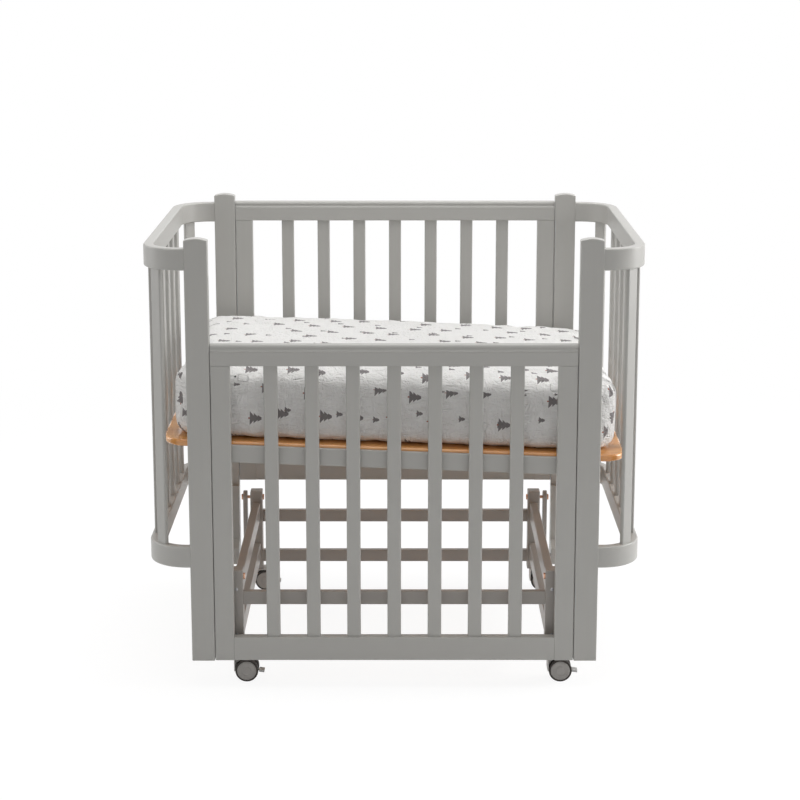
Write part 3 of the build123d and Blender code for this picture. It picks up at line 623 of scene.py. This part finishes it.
GREY_PAINT = Paint("grey_paint", (0.442, 0.434, 0.411))
# The grey paint made darker and warmer: painted shade and painted warm bounce from the board under the bed.
SHADED_BASE_PAINT = Paint("base_paint", (0.37, 0.345, 0.32))
VARNISHED_BOARD = Wood("varnished_board", (0.9, 0.47, 0.15), (0.7, 0.26, 0.05), coat=1.0, coat_roughness=0.08,
                       roughness=0.3)
BARE_BEECH = Wood("bare_beech", (0.64, 0.47, 0.31), (0.5, 0.34, 0.2), roughness=0.55)
ZINC = Plating("zinc", (0.4, 0.4, 0.41))
COPPER = Plating("copper", (0.6, 0.36, 0.25))
HOUSING_PLASTIC = Moulding("housing_plastic", (0.64, 0.625, 0.6))
HUB_PLASTIC = Moulding("hub_plastic", (0.74, 0.72, 0.68), roughness=0.34)
BRAKE_PLASTIC = Moulding("brake_plastic", (0.7, 0.68, 0.64))
TYRE_RUBBER = Moulding("tyre_rubber", (0.035, 0.028, 0.024), roughness=0.55, grit=900.0, depth=0.08 * MM)
STUD_PLASTIC = Moulding("stud_plastic", (0.03, 0.03, 0.032), roughness=0.25)


def dress(names: Iterable[str], material: Material) -> None:
    """Gives CAD nodes a material.

    Args:
        names: the nodes' names.
        material: what their slots get.
    """
    for name in names:
        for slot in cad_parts[name].material_slots:
            slot.material = material
        LOG.info("%s wears %s", name, material.name)


def take(piece: Piece) -> None:
    """Leaves edit mode and makes one object the only one selected.

    Args:
        piece: the object.
    """
    if bpy.context.object is not None and bpy.context.object.mode != "OBJECT":
        bpy.ops.object.mode_set(mode="OBJECT")
    bpy.ops.object.select_all(action="DESELECT")
    piece.select_set(True)
    bpy.context.view_layer.objects.active = piece


def modify(piece: Piece, kind: str, **settings: object) -> None:
    """Applies one modifier.

    Args:
        piece: the object that it shapes.
        kind: the modifier's type.
        settings: the modifier's own properties.
    """
    modifier = piece.modifiers.new(kind.title(), kind)
    for key, value in settings.items():
        setattr(modifier, key, value)
    take(piece)
    bpy.ops.object.modifier_apply(modifier=modifier.name)


def edit_faces(piece: Piece, direction: Vector, least: float = 0.9) -> None:
    """Opens edit mode with the faces selected that look one way.

    Args:
        piece: the object to edit.
        direction: the way that they look.
        least: the least cosine between a face's normal and that way.
    """
    take(piece)
    bpy.ops.object.mode_set(mode="EDIT")
    bpy.ops.mesh.select_mode(type="FACE")
    bpy.ops.mesh.select_all(action="DESELECT")
    shape = bmesh.from_edit_mesh(piece.data)
    for face in shape.faces:
        face.select_set(face.normal.dot(direction) > least)
    bmesh.update_edit_mesh(piece.data)


def close_edit(piece: Piece) -> None:
    """Turns the normals outwards and leaves edit mode.

    Args:
        piece: the object.
    """
    bpy.ops.mesh.select_all(action="SELECT")
    bpy.ops.mesh.normals_make_consistent(inside=False)
    bpy.ops.object.mode_set(mode="OBJECT")
    take(piece)


def copy_of(piece: Piece) -> Piece:
    """Adds a copy of a piece, with its own mesh.

    Args:
        piece: the object.

    Returns:
        The copy.
    """
    copy = piece.copy()
    copy.data = piece.data.copy()
    bpy.context.scene.collection.objects.link(copy)
    return copy


def standing(place: Vector, way: Vector) -> Matrix:
    """What stands a piece on a place, with its top looking one way."""
    return Matrix.Translation(place) @ way.to_track_quat("Z", "Y").to_matrix().to_4x4()


def join(pieces: list[Piece], name: str, material: Material) -> Piece:
    """Joins pieces into one and gives it one material.

    Args:
        pieces: the pieces.
        name: the new piece's name.
        material: the material.

    Returns:
        The joined piece.
    """
    take(pieces[0])
    for piece in pieces:
        piece.select_set(True)
    bpy.ops.object.join()
    joined = bpy.context.object
    joined.name = name
    joined.data.materials.clear()
    joined.data.materials.append(material)
    return joined


def read_values(items: Sockets, key: str, width: int, kind: type = np.float32) -> np.ndarray:
    """One row of values for each item of a mesh.

    Args:
        items: the points, corners or faces.
        key: the value's name.
        width: how many numbers a value has.
        kind: the numbers' type.

    Returns:
        The rows.
    """
    flat = np.empty(len(items) * width, kind)
    items.foreach_get(key, flat)
    return flat.reshape(-1, width)


def read_points(mesh: Mesh) -> np.ndarray:
    """The mesh's points, one row each."""
    return read_values(mesh.vertices, "co", 3).astype(float)


def write_points(mesh: Mesh, points: np.ndarray) -> None:
    """Moves the mesh's points to the rows given."""
    mesh.vertices.foreach_set("co", points.astype(np.float32).ravel())
    mesh.update()


def solids_of(node: str) -> list[np.ndarray]:
    """The points of each separate solid in a CAD node, in the order that they are stored.

    Args:
        node: the node's name.

    Returns:
        One array of points for each solid.
    """
    shape = bmesh.new()
    shape.from_mesh(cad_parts[node].data)
    bmesh.ops.remove_doubles(shape, verts=shape.verts, dist=0.001 * MM)
    shape.verts.ensure_lookup_table()
    seen = [False] * len(shape.verts)
    solids = []
    for start in shape.verts:
        if seen[start.index]:
            continue
        seen[start.index] = True
        waiting, points = [start], []
        while waiting:
            vertex = waiting.pop()
            points.append(tuple(vertex.co))
            for edge in vertex.link_edges:
                other = edge.other_vert(vertex)
                if not seen[other.index]:
                    seen[other.index] = True
                    waiting.append(other)
        solids.append(np.array(points))
    shape.free()
    return solids


@dataclass(frozen=True)
class SoftBox:
    """One soft box: where it hangs, the point that it looks at, its width and height, and its power."""

    name: str
    place: tuple[float, float, float]
    aim: tuple[float, float, float]
    size: tuple[float, float]
    watts: float


@dataclass
class Studio:
    """White floor, four soft boxes, a white world and the camera."""

    camera_place: tuple[float, float, float] = (0.013, -4.015, 1.507)
    camera_pitch: float = 11.47
    lens: float = 87.08
    shift: tuple[float, float] = (-0.0009, -0.1)
    floor_size: float = 400.0
    ambient: float = 0.33
    near_white: float = 0.9
    near_floor: float = 0.14
    shadow_fade: tuple[float, float] = (0.7, 2.6)
    floor_grey: float = 0.8
    boxes: tuple[SoftBox, ...] = (
        SoftBox("top_box", (0.1, 0.0, 3.0), (0.0, 0.1, 0.6), (2.4, 2.0), 46.0),
        SoftBox("right_box", (3.0, 0.1, 1.4), (0.4, 0.0, 0.55), (1.6, 2.0), 66.0),
        SoftBox("left_box", (-3.0, 0.1, 1.4), (-0.4, 0.0, 0.55), (1.6, 2.0), 23.0),
        SoftBox("front_box", (0.5, -3.6, 2.2), (0.0, 0.0, 0.45), (3.0, 2.0), 6.0))

    def build(self) -> None:
        """Makes the stage, the lamps, the world and the camera."""
        bpy.context.scene.view_settings.view_transform = "Standard"
        self.floor()
        for box in self.boxes:
            self.lamp(box)
        self.world()
        self.camera()

    def seen(self, graph: Graph) -> Socket:
        """1 for rays from the camera and for what gloss and glass show, otherwise 0.

        Args:
            graph: the graph to build in.

        Returns:
            The mask.
        """
        path = graph.node("ShaderNodeLightPath")
        either = graph.calc("MAXIMUM", path.outputs["Is Camera Ray"], path.outputs["Is Glossy Ray"])
        return graph.calc("MAXIMUM", either, path.outputs["Is Transmission Ray"])

    def floor(self) -> None:
        """Adds the floor, white to the camera but for the object's shadow."""
        bpy.ops.mesh.primitive_plane_add(size=self.floor_size)
        floor = bpy.context.object
        floor.name = "studio_floor"
        material = bpy.data.materials.new("studio_white")
        material.use_nodes = True
        material.node_tree.nodes.clear()
        graph = Graph(material.node_tree)
        far = graph.node("ShaderNodeVectorMath", {0: graph.object_place()}, operation="LENGTH").outputs["Value"]
        away = graph.spread(far, *self.shadow_fade, 0.0, 1.0)
        glow = graph.node("ShaderNodeEmission", {"Strength": graph.spread(away, 0.0, 1.0, self.near_white, 1.0)})
        grey = graph.spread(away, 0.0, 1.0, self.near_floor, 0.0)
        shaded = graph.node("ShaderNodeBsdfDiffuse", {"Color": grey})
        shown = graph.node("ShaderNodeAddShader", {0: glow.outputs[0], 1: shaded.outputs[0]})
        plain = graph.node("ShaderNodeBsdfDiffuse", {"Color": (*[self.floor_grey] * 3, 1.0)})
        choice = {0: self.seen(graph), 1: plain.outputs[0], 2: shown.outputs[0]}
        both = graph.node("ShaderNodeMixShader", choice)
        graph.node("ShaderNodeOutputMaterial", {"Surface": both.outputs[0]})
        floor.data.materials.append(material)
        LOG.info("studio floor laid")

    def lamp(self, box: SoftBox) -> None:
        """Adds one soft box.

        Args:
            box: the soft box.
        """
        light = bpy.data.lights.new(box.name, "AREA")
        light.shape = "RECTANGLE"
        light.size, light.size_y = box.size
        light.energy = box.watts
        lamp = bpy.data.objects.new(box.name, light)
        lamp.location = box.place
        lamp.rotation_euler = (Vector(box.aim) - Vector(box.place)).to_track_quat("-Z", "Y").to_euler()
        bpy.context.scene.collection.objects.link(lamp)
        LOG.info("%s: %.0f W", box.name, box.watts)

    def world(self) -> None:
        """Sets a white world, which lights the crib less than it shows."""
        world = bpy.data.worlds.new("studio_world")
        bpy.context.scene.world = world
        world.use_nodes = True
        world.node_tree.nodes.clear()
        graph = Graph(world.node_tree)
        white = (1.0, 1.0, 1.0, 1.0)
        light = graph.node("ShaderNodeBackground", {"Color": white, "Strength": self.ambient})
        shown = graph.node("ShaderNodeBackground", {"Color": white, "Strength": 1.0})
        choice = {0: self.seen(graph), 1: light.outputs[0], 2: shown.outputs[0]}
        both = graph.node("ShaderNodeMixShader", choice)
        graph.node("ShaderNodeOutputWorld", {"Surface": both.outputs[0]})

    def camera(self) -> None:
        """Sets up the camera where the photograph was taken."""
        data = bpy.data.cameras.new("studio_camera")
        data.lens = self.lens
        data.sensor_width = 36.0
        data.shift_x, data.shift_y = self.shift
        camera = bpy.data.objects.new("studio_camera", data)
        camera.location = self.camera_place
        camera.rotation_euler = (math.radians(90.0 - self.camera_pitch), 0.0, 0.0)
        bpy.context.scene.collection.objects.link(camera)
        bpy.context.scene.camera = camera
        LOG.info("camera set")


@dataclass
class ScrewHeads:
    """Raised heads with a cross recess, one on the end of each CAD screw of a node."""

    node: str
    body: str
    slot: str
    height: float = 2.2 * MM
    crown: float = 0.35 * MM
    recess_depth: float = 1.3 * MM
    recess_length: float = 1.15
    recess_width: float = 0.24
    ring: float = 0.3
    end_depth: float = 0.6 * MM
    first_turn: float = 17.0
    next_turn: float = 41.0

    def pattern(self, radius: float) -> Piece:
        """One head at the origin, its crown towards +Z.

        Args:
            radius: the head's radius.

        Returns:
            The head.
        """
        bpy.ops.object.select_all(action="DESELECT")
        bpy.ops.mesh.primitive_cylinder_add(vertices=40, radius=radius, depth=self.height,
                                            location=(0.0, 0.0, -self.height / 2))
        head = bpy.context.object
        take(head)
        bpy.ops.object.transform_apply(location=True, rotation=True, scale=True)
        edit_faces(head, Vector((0.0, 0.0, 1.0)))
        bpy.ops.transform.translate(value=(0.0, 0.0, -self.crown))
        bpy.ops.mesh.inset(thickness=radius * self.ring)
        bpy.ops.transform.translate(value=(0.0, 0.0, self.crown * 0.8))
        bpy.ops.mesh.inset(thickness=radius * self.ring)
        bpy.ops.transform.translate(value=(0.0, 0.0, self.crown * 0.2))
        close_edit(head)
        modify(head, "BEVEL", width=radius * 0.08, segments=2, limit_method="ANGLE")
        arm = radius * self.recess_length
        blade = radius * self.recess_width
        for scale in ((arm, blade, 2 * self.recess_depth), (blade, arm, 2 * self.recess_depth)):
            bpy.ops.object.select_all(action="DESELECT")
            bpy.ops.mesh.primitive_cube_add(size=1.0, scale=scale)
            cutter = bpy.context.object
            take(cutter)
            bpy.ops.object.transform_apply(location=True, rotation=True, scale=True)
            modify(head, "BOOLEAN", operation="DIFFERENCE", solver="EXACT", object=cutter)
            bpy.data.objects.remove(cutter)
        take(head)
        bpy.ops.object.shade_smooth_by_angle(angle=math.radians(32.0))
        return head

    def build(self) -> None:
        """Makes the heads and puts them in the place of the CAD screws."""
        copies = []
        head = None
        for points in solids_of(self.node):
            low, high = points.min(axis=0), points.max(axis=0)
            axis = int(np.argmax(high - low))
            others = [index for index in range(3) if index != axis]
            centre = (low + high) / 2
            reach = {}
            for sign, end in ((1.0, high[axis]), (-1.0, low[axis])):
                near = points[np.abs(points[:, axis] - end) < self.end_depth]
                reach[sign] = float(np.hypot(*(near[:, others] - centre[others]).T).max())
            sign = max(reach, key=reach.get)
            if head is None:
                head = self.pattern(reach[sign])
            way = Vector((0.0, 0.0, 0.0))
            way[axis] = sign
            spot = Vector(centre)
            spot[axis] = float(high[axis] if sign > 0 else low[axis])
            turn = Matrix.Rotation(math.radians(self.first_turn + self.next_turn * len(copies)), 4, "Z")
            copy = copy_of(head)
            copy.data.transform(standing(spot, way) @ turn)
            copies.append(copy)
        bpy.data.objects.remove(head)
        joined = join(copies, f"{self.node}_heads", ZINC.material())
        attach(joined, self.body)
        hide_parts(self.node)
        LOG.info("%s: %d heads", joined.name, len(copies))


@dataclass
class Posts:
    """The four posts."""

    def build(self) -> None:
        """Paints the posts."""
        dress((f"{row.value}_post_{side.value}" for row in Row for side in Side), GREY_PAINT.material(Axis.Z))


@dataclass
class Panels:
    """The sliding front panel and the fixed rear panel."""

    def build(self) -> None:
        """Paints both panels and plates their pins and bolts."""
        for row in Row:
            rails = (f"{row.value}_panel_top_rail", f"{row.value}_panel_bottom_rail")
            dress(rails, GREY_PAINT.material(Axis.X))
            dress((f"{row.value}_panel_stiles", f"{row.value}_panel_slats"), GREY_PAINT.material(Axis.Z))
        dress(("guide_pins", "rear_panel_bolts"), ZINC.material())


@dataclass
class BentEnds:
    """The bent rails and slats of both ends."""

    def build(self) -> None:
        """Paints the ends."""
        for side in Side:
            rails = (f"upper_bent_rail_{side.value}", f"lower_bent_rail_{side.value}")
            dress(rails, GREY_PAINT.material(Axis.Y))
            dress((f"end_slats_{side.value}",), GREY_PAINT.material(Axis.Z))
        dress(("rail_dowels",), BARE_BEECH.material(Axis.X))


@dataclass
class Bed:
    """The bed board on its rails."""

    def build(self) -> None:
        """Varnishes the board, paints the long rails and dresses what lies under it."""
        dress(("bed_board",), VARNISHED_BOARD.material(Axis.X))
        dress(("bed_long_rails",), GREY_PAINT.material(Axis.X))
        dress(("bed_cross_rails",), BARE_BEECH.material(Axis.Y))
        dress(("bed_bolts",), ZINC.material())


@dataclass
class Mattress:
    """Foam mattress in a printed cotton cover, on the tilted bed."""

    tilt: float = math.radians(2.2)
    bed_rise: float = 480.3 * MM
    half_length: float = 454 * MM
    half_width: float = 300 * MM
    thickness: float = 136 * MM
    loft: float = 10 * MM
    crown: float = 8 * MM
    edge_round: float = 26 * MM
    corner_round: float = 62 * MM
    voxel: float = 8 * MM
    start_inset: float = 4 * MM
    most_swell: float = 9 * MM
    side_room: float = 3 * MM
    pressure: float = 4.0
    last_frame: int = 20
    patches: tuple[tuple[float, float], ...] = ((-305 * MM, 0.55), (315 * MM, 0.1))
    stud_gap: float = 17 * MM
    stud_radius: float = 2.0 * MM
    stud_squash: float = 0.55
    fold_depth: float = 2.1 * MM
    seam_depth: float = 1.1 * MM
    pucker_depth: float = 0.8 * MM
    crinkle_depth: float = 0.26 * MM
    crinkle_lengths: tuple[float, float] = (34 * MM, 95 * MM)
    crinkles: int = 7
    crinkle_seed: int = 11
    foot: float = 0.0
    uv_map: str = "cover"

    def axes(self) -> np.ndarray:
        """The bed's own axes, one row each."""
        c, s = math.cos(self.tilt), math.sin(self.tilt)
        return np.array(((c, 0.0, -s), (0.0, 1.0, 0.0), (s, 0.0, c)))

    def to_bed(self, points: np.ndarray) -> np.ndarray:
        """Points of the row frame in the bed's own frame."""
        return (points - (0.0, 0.0, self.bed_rise)) @ self.axes().T

    def from_bed(self, points: np.ndarray) -> np.ndarray:
        """Points of the bed's own frame in the row frame."""
        return points @ self.axes() + (0.0, 0.0, self.bed_rise)

    def build(self) -> None:
        """Makes the mattress and its two studs."""
        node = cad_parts["mattress"]
        pad = bpy.data.objects.new("mattress_pad", node.data.copy())
        bpy.context.scene.collection.objects.link(pad)
        take(pad)
        bpy.ops.object.mode_set(mode="EDIT")
        bpy.ops.mesh.select_all(action="SELECT")
        bpy.ops.mesh.remove_doubles(threshold=0.01 * MM)
        bpy.ops.mesh.normals_make_consistent(inside=False)
        bpy.ops.object.mode_set(mode="OBJECT")
        self.foot = float(self.to_bed(read_points(pad.data))[:, 2].min())
        modify(pad, "REMESH", mode="VOXEL", voxel_size=self.voxel)
        modify(pad, "SMOOTH", factor=0.5, iterations=4)
        self.shrink(pad)
        self.swell(pad)
        modify(pad, "SMOOTH", factor=0.5, iterations=2)
        modify(pad, "SUBSURF", levels=1, render_levels=1)
        self.crease(pad)
        self.wrap(pad)
        take(pad)
        bpy.ops.object.shade_smooth()
        pad.data.materials.clear()
        bend = self.half_width - self.edge_round
        patches = tuple((along, -(bend + self.edge_round * angle)) for along, angle in self.patches)
        cotton = Cotton("printed_cotton", self.uv_map, patches)
        pad.data.materials.append(cotton.material())
        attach(pad, "crib")
        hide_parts("mattress")
        LOG.info("mattress: %d faces", len(pad.data.polygons))
        self.studs(pad)

    def shrink(self, pad: Piece) -> None:
        """Draws the pad in, so that it has room to swell.

        Args:
            pad: the mattress.
        """
        points = self.to_bed(read_points(pad.data))
        full = self.thickness + self.loft
        points[:, 2] = self.foot + (points[:, 2] - self.foot) * full / self.thickness
        centre = np.array((0.0, 0.0, self.foot + full / 2))
        half = np.array((self.half_length, self.half_width, full / 2))
        points = centre + (points - centre) * (1.0 - self.start_inset / half)
        write_points(pad.data, self.from_bed(points))

    def hold(self, points: np.ndarray) -> np.ndarray:
        """Points of the bed's frame kept off the board and clear of the panels and ends.

        Args:
            points: the points, in the bed's frame.

        Returns:
            The points, held.
        """
        x_most, y_most = self.half_length + self.side_room, self.half_width + self.side_room
        low = np.array((-x_most, -y_most, self.foot))
        high = np.array((x_most, y_most, self.foot + self.thickness + self.loft + self.side_room))
        return np.clip(points, low, high)

    def swell(self, pad: Piece) -> None:
        """Blows the pad up as cloth over foam and caps how far it moves.

        Args:
            pad: the mattress.
        """
        scene = bpy.context.scene
        start = read_points(pad.data)
        cloth = pad.modifiers.new("Cloth", "CLOTH")
        cloth.settings.quality = 4
        cloth.settings.use_pressure = True
        cloth.settings.uniform_pressure_force = self.pressure
        cloth.settings.effector_weights.gravity = 0.0
        cloth.point_cache.frame_start = 1
        cloth.point_cache.frame_end = self.last_frame
        for step in range(1, self.last_frame + 1):
            scene.frame_set(step)
        take(pad)
        bpy.ops.object.modifier_apply(modifier=cloth.name)
        scene.frame_set(1)
        moved = read_points(pad.data) - start
        length = np.maximum(np.linalg.norm(moved, axis=1, keepdims=True), 1e-9)
        points = start + moved * np.minimum(1.0, self.most_swell / length)
        write_points(pad.data, self.from_bed(self.hold(self.to_bed(points))))

    def crease(self, pad: Piece) -> None:
        """Draws corner folds, side puckers and a light crinkle into the cover.

        Args:
            pad: the mattress.
        """
        mesh = pad.data
        normals = read_values(mesh.vertex_normals, "vector", 3).astype(float)
        points = self.to_bed(read_points(mesh))
        x, y, z = points.T
        rise = np.clip((z - self.foot) / self.thickness, 0.0, 1.0)
        upper = np.clip((rise - 0.35) / 0.35, 0.0, 1.0)
        depth = np.zeros(len(points))
        for side_x in (-1.0, 1.0):
            for side_y in (-1.0, 1.0):
                from_x = x - side_x * (self.half_length - 1.3 * self.corner_round)
                from_y = y - side_y * (self.half_width - 1.3 * self.corner_round)
                reach = np.hypot(from_x, from_y)
                angle = np.arctan2(from_y * side_y, from_x * side_x)
                fan = np.sin(9.0 * angle + 1.3 * side_x + 0.6 * side_y + 14.0 * reach)
                depth += self.fold_depth * fan * upper * np.exp(-(((reach - 0.085) / 0.035) ** 2))
                seam = ((np.abs(x) - self.half_length) - (np.abs(y) - self.half_width)) / math.sqrt(2.0)
                outer = np.clip((reach - 0.06) / 0.03, 0.0, 1.0) * (angle > 0.0) * (angle < math.pi / 2)
                depth -= self.seam_depth * outer * np.exp(-((seam / (4 * MM)) ** 2))
        walls = np.clip(1.0 - np.abs(rise - 0.72) / 0.25, 0.0, 1.0)
        walls *= np.clip((np.maximum(np.abs(x) - 0.38, np.abs(y) - 0.23)) / 0.05, 0.0, 1.0)
        along = np.where(np.abs(y) - self.half_width > np.abs(x) - self.half_length, x, y)
        depth += self.pucker_depth * walls * np.sin(along * 118.0 + 2.2 * np.sin(along * 37.0))
        seeded = np.random.default_rng(self.crinkle_seed)
        for _ in range(self.crinkles):
            way = seeded.uniform(0.0, math.pi)
            pace = math.tau / seeded.uniform(*self.crinkle_lengths)
            phase = seeded.uniform(0.0, math.tau)
            wave = np.sin((x * math.cos(way) + y * math.sin(way) + 0.6 * z) * pace + phase)
            depth += self.crinkle_depth * wave
        points = points + (normals @ self.axes().T) * depth[:, None]
        write_points(mesh, self.from_bed(self.hold(points)))

    def shoulder(self) -> float:
        """The height, in the bed's frame, at which a wall starts to round over to the top."""
        return self.foot + self.thickness + self.loft - self.crown - self.edge_round

    def unroll(self, across: np.ndarray, height: np.ndarray, half: float) -> np.ndarray:
        """How far a point lies from the middle, measured over the top edge and down the wall.

        Args:
            across: its distance from the middle.
            height: its height in the bed's frame.
            half: half the mattress that way.

        Returns:
            The distances along the cloth.
        """
        bend = half - self.edge_round
        shoulder = self.shoulder()
        over = bend + self.edge_round * np.arctan2(across - bend, np.maximum(height - shoulder, 1e-6))
        down = bend + self.edge_round * math.pi / 2 + (shoulder - height)
        return np.where(height < shoulder, down, np.where(across < bend, across, over))

    def wrap(self, pad: Piece) -> None:
        """Lays the cover's coordinates, in metres, over the top and down the walls.

        Args:
            pad: the mattress.
        """
        mesh = pad.data
        layer = mesh.uv_layers.new(name=self.uv_map)
        corners = read_values(mesh.loops, "vertex_index", 1, np.int32)[:, 0]
        centres = read_values(mesh.polygons, "center", 3).astype(float)
        totals = read_values(mesh.polygons, "loop_total", 1, np.int32)[:, 0]
        middle = np.repeat(self.to_bed(centres), totals, axis=0)
        points = self.to_bed(read_points(mesh))[corners]
        x, y, z = points.T
        on_side = np.abs(middle[:, 1]) - self.half_width > np.abs(middle[:, 0]) - self.half_length
        under = middle[:, 2] < self.foot + 4 * MM
        along = np.where(on_side | under, x, np.sign(x) * self.unroll(np.abs(x), z, self.half_length))
        across = np.where(on_side & ~under, np.sign(y) * self.unroll(np.abs(y), z, self.half_width), y)
        layer.data.foreach_set("uv", np.stack((along, across), axis=1).astype(np.float32).ravel())

    def studs(self, pad: Piece) -> None:
        """Sets a dark snap stud beside each sewn patch.

        Args:
            pad: the mattress.
        """
        bend = self.half_width - self.edge_round
        shoulder = self.shoulder()
        made = []
        for along, angle in self.patches:
            bpy.ops.object.select_all(action="DESELECT")
            bpy.ops.mesh.primitive_uv_sphere_add(segments=24, ring_count=16, radius=self.stud_radius)
            stud = bpy.context.object
            take(stud)
            bpy.ops.object.mode_set(mode="EDIT")
            bpy.ops.mesh.select_all(action="SELECT")
            bpy.ops.transform.resize(value=(1.0, 1.0, self.stud_squash))
            bpy.ops.mesh.select_all(action="SELECT")
            bpy.ops.mesh.bisect(plane_co=(0.0, 0.0, -0.5 * MM), plane_no=(0.0, 0.0, 1.0), use_fill=True,
                                clear_inner=True)
            close_edit(stud)
            outwards = math.copysign(self.stud_gap, along)
            spot = np.array((along + outwards, -(bend + self.edge_round * math.sin(angle)),
                             shoulder + self.edge_round * math.cos(angle)))
            target = Vector(self.from_bed(spot[None])[0])
            _, place, normal, _ = pad.closest_point_on_mesh(target)
            stud.data.transform(standing(place, normal))
            made.append(stud)
        joined = join(made, "mattress_studs", STUD_PLASTIC.material())
        bpy.ops.object.shade_smooth_by_angle(angle=math.radians(40.0))
        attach(joined, "crib")
        LOG.info("mattress studs set")


@dataclass
class PendulumBase:
    """Uprights, side rails and crossbars that carry the casters."""

    def build(self) -> None:
        """Paints the base and the hangers and sets their screws."""
        # Base pieces get the darker, warmer grey: painted shade and warm bounce under the bed.
        dress((f"base_upright_{corner}" for corner in CORNERS), SHADED_BASE_PAINT.material(Axis.Z))
        dress((f"base_side_rails_{side.value}" for side in Side), SHADED_BASE_PAINT.material(Axis.Y))
        dress((f"base_crossbars_{row.value}" for row in Row), SHADED_BASE_PAINT.material(Axis.X))
        dress(("hangers",), GREY_PAINT.material(Axis.Z))
        ScrewHeads("base_screws", "base", "zinc_screw").build()
        ScrewHeads("hanger_screws", "crib", "zinc_screw").build()


@dataclass
class Links:
    """The four links and their pins."""

    def build(self) -> None:
        """Paints the links and plates the pins."""
        # Links get the darker, warmer grey: painted shade under the bed.
        dress((f"link_{corner}" for corner in CORNERS), SHADED_BASE_PAINT.material(Axis.Z))
        dress(("upper_pins",), COPPER.material(Axis.X))
        dress(("lower_pins",), ZINC.material())


@dataclass
class HubCaps:
    """Ringed caps on the two outer faces of a caster's hubs."""

    corner: str
    radius: float = 17.8 * MM
    depth: float = 2.6 * MM
    seat: float = 1.5 * MM
    steps: tuple[tuple[float, float], ...] = (
        (1.0 * MM, 0.0), (0.4 * MM, -0.6 * MM), (5.6 * MM, 0.0), (0.3 * MM, -1.0 * MM), (1.9 * MM, 0.0),
        (0.3 * MM, 1.1 * MM), (2.6 * MM, 0.3 * MM))

    def build(self) -> None:
        """Makes one cap, copies it and sets the two on their hubs."""
        low, high = (Vector(corner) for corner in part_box(f"caster_hubs_{self.corner}"))
        axle = (low + high) / 2
        bpy.ops.object.select_all(action="DESELECT")
        bpy.ops.mesh.primitive_cylinder_add(vertices=72, radius=self.radius, depth=self.depth)
        cap = bpy.context.object
        edit_faces(cap, Vector((0.0, 0.0, 1.0)))
        for inset, rise in self.steps:
            bpy.ops.mesh.inset(thickness=inset)
            bpy.ops.transform.translate(value=(0.0, 0.0, rise))
        close_edit(cap)
        modify(cap, "BEVEL", width=0.14 * MM, segments=2, limit_method="ANGLE")
        take(cap)
        bpy.ops.object.shade_smooth_by_angle(angle=math.radians(35.0))
        other = copy_of(cap)
        stand = self.depth / 2 - self.seat
        for piece, way, face in ((cap, -1.0, low.y), (other, 1.0, high.y)):
            spot = Vector((axle.x, face + way * stand, axle.z))
            piece.data.transform(standing(spot, Vector((0.0, way, 0.0))))
        caps = join([cap, other], f"caster_hub_caps_{self.corner}", HUB_PLASTIC.material())
        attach(caps, f"caster_wheels_{self.corner}")
        LOG.info("%s set", caps.name)


@dataclass
class Casters:
    """The four twin-wheel casters."""

    def build(self) -> None:
        """Gives each caster its plastics and rubber."""
        finishes = {"housing": HOUSING_PLASTIC, "hubs": HUB_PLASTIC, "tyres": TYRE_RUBBER,
                    "brake": BRAKE_PLASTIC}
        for part, finish in finishes.items():
            dress((f"caster_{part}_{corner}" for corner in CORNERS), finish.material())
        for corner in CORNERS:
            HubCaps(corner).build()


ASSEMBLIES = (Studio, Posts, Panels, BentEnds, Bed, Mattress, PendulumBase, Links, Casters)


def main() -> None:
    """Builds the sub-assemblies in order."""
    logging.basicConfig(level=logging.INFO, format="%(message)s")
    bpy.ops.object.select_all(action="DESELECT")
    for assembly in ASSEMBLIES:
        assembly().build()


if __name__ == "__main__":
    main()
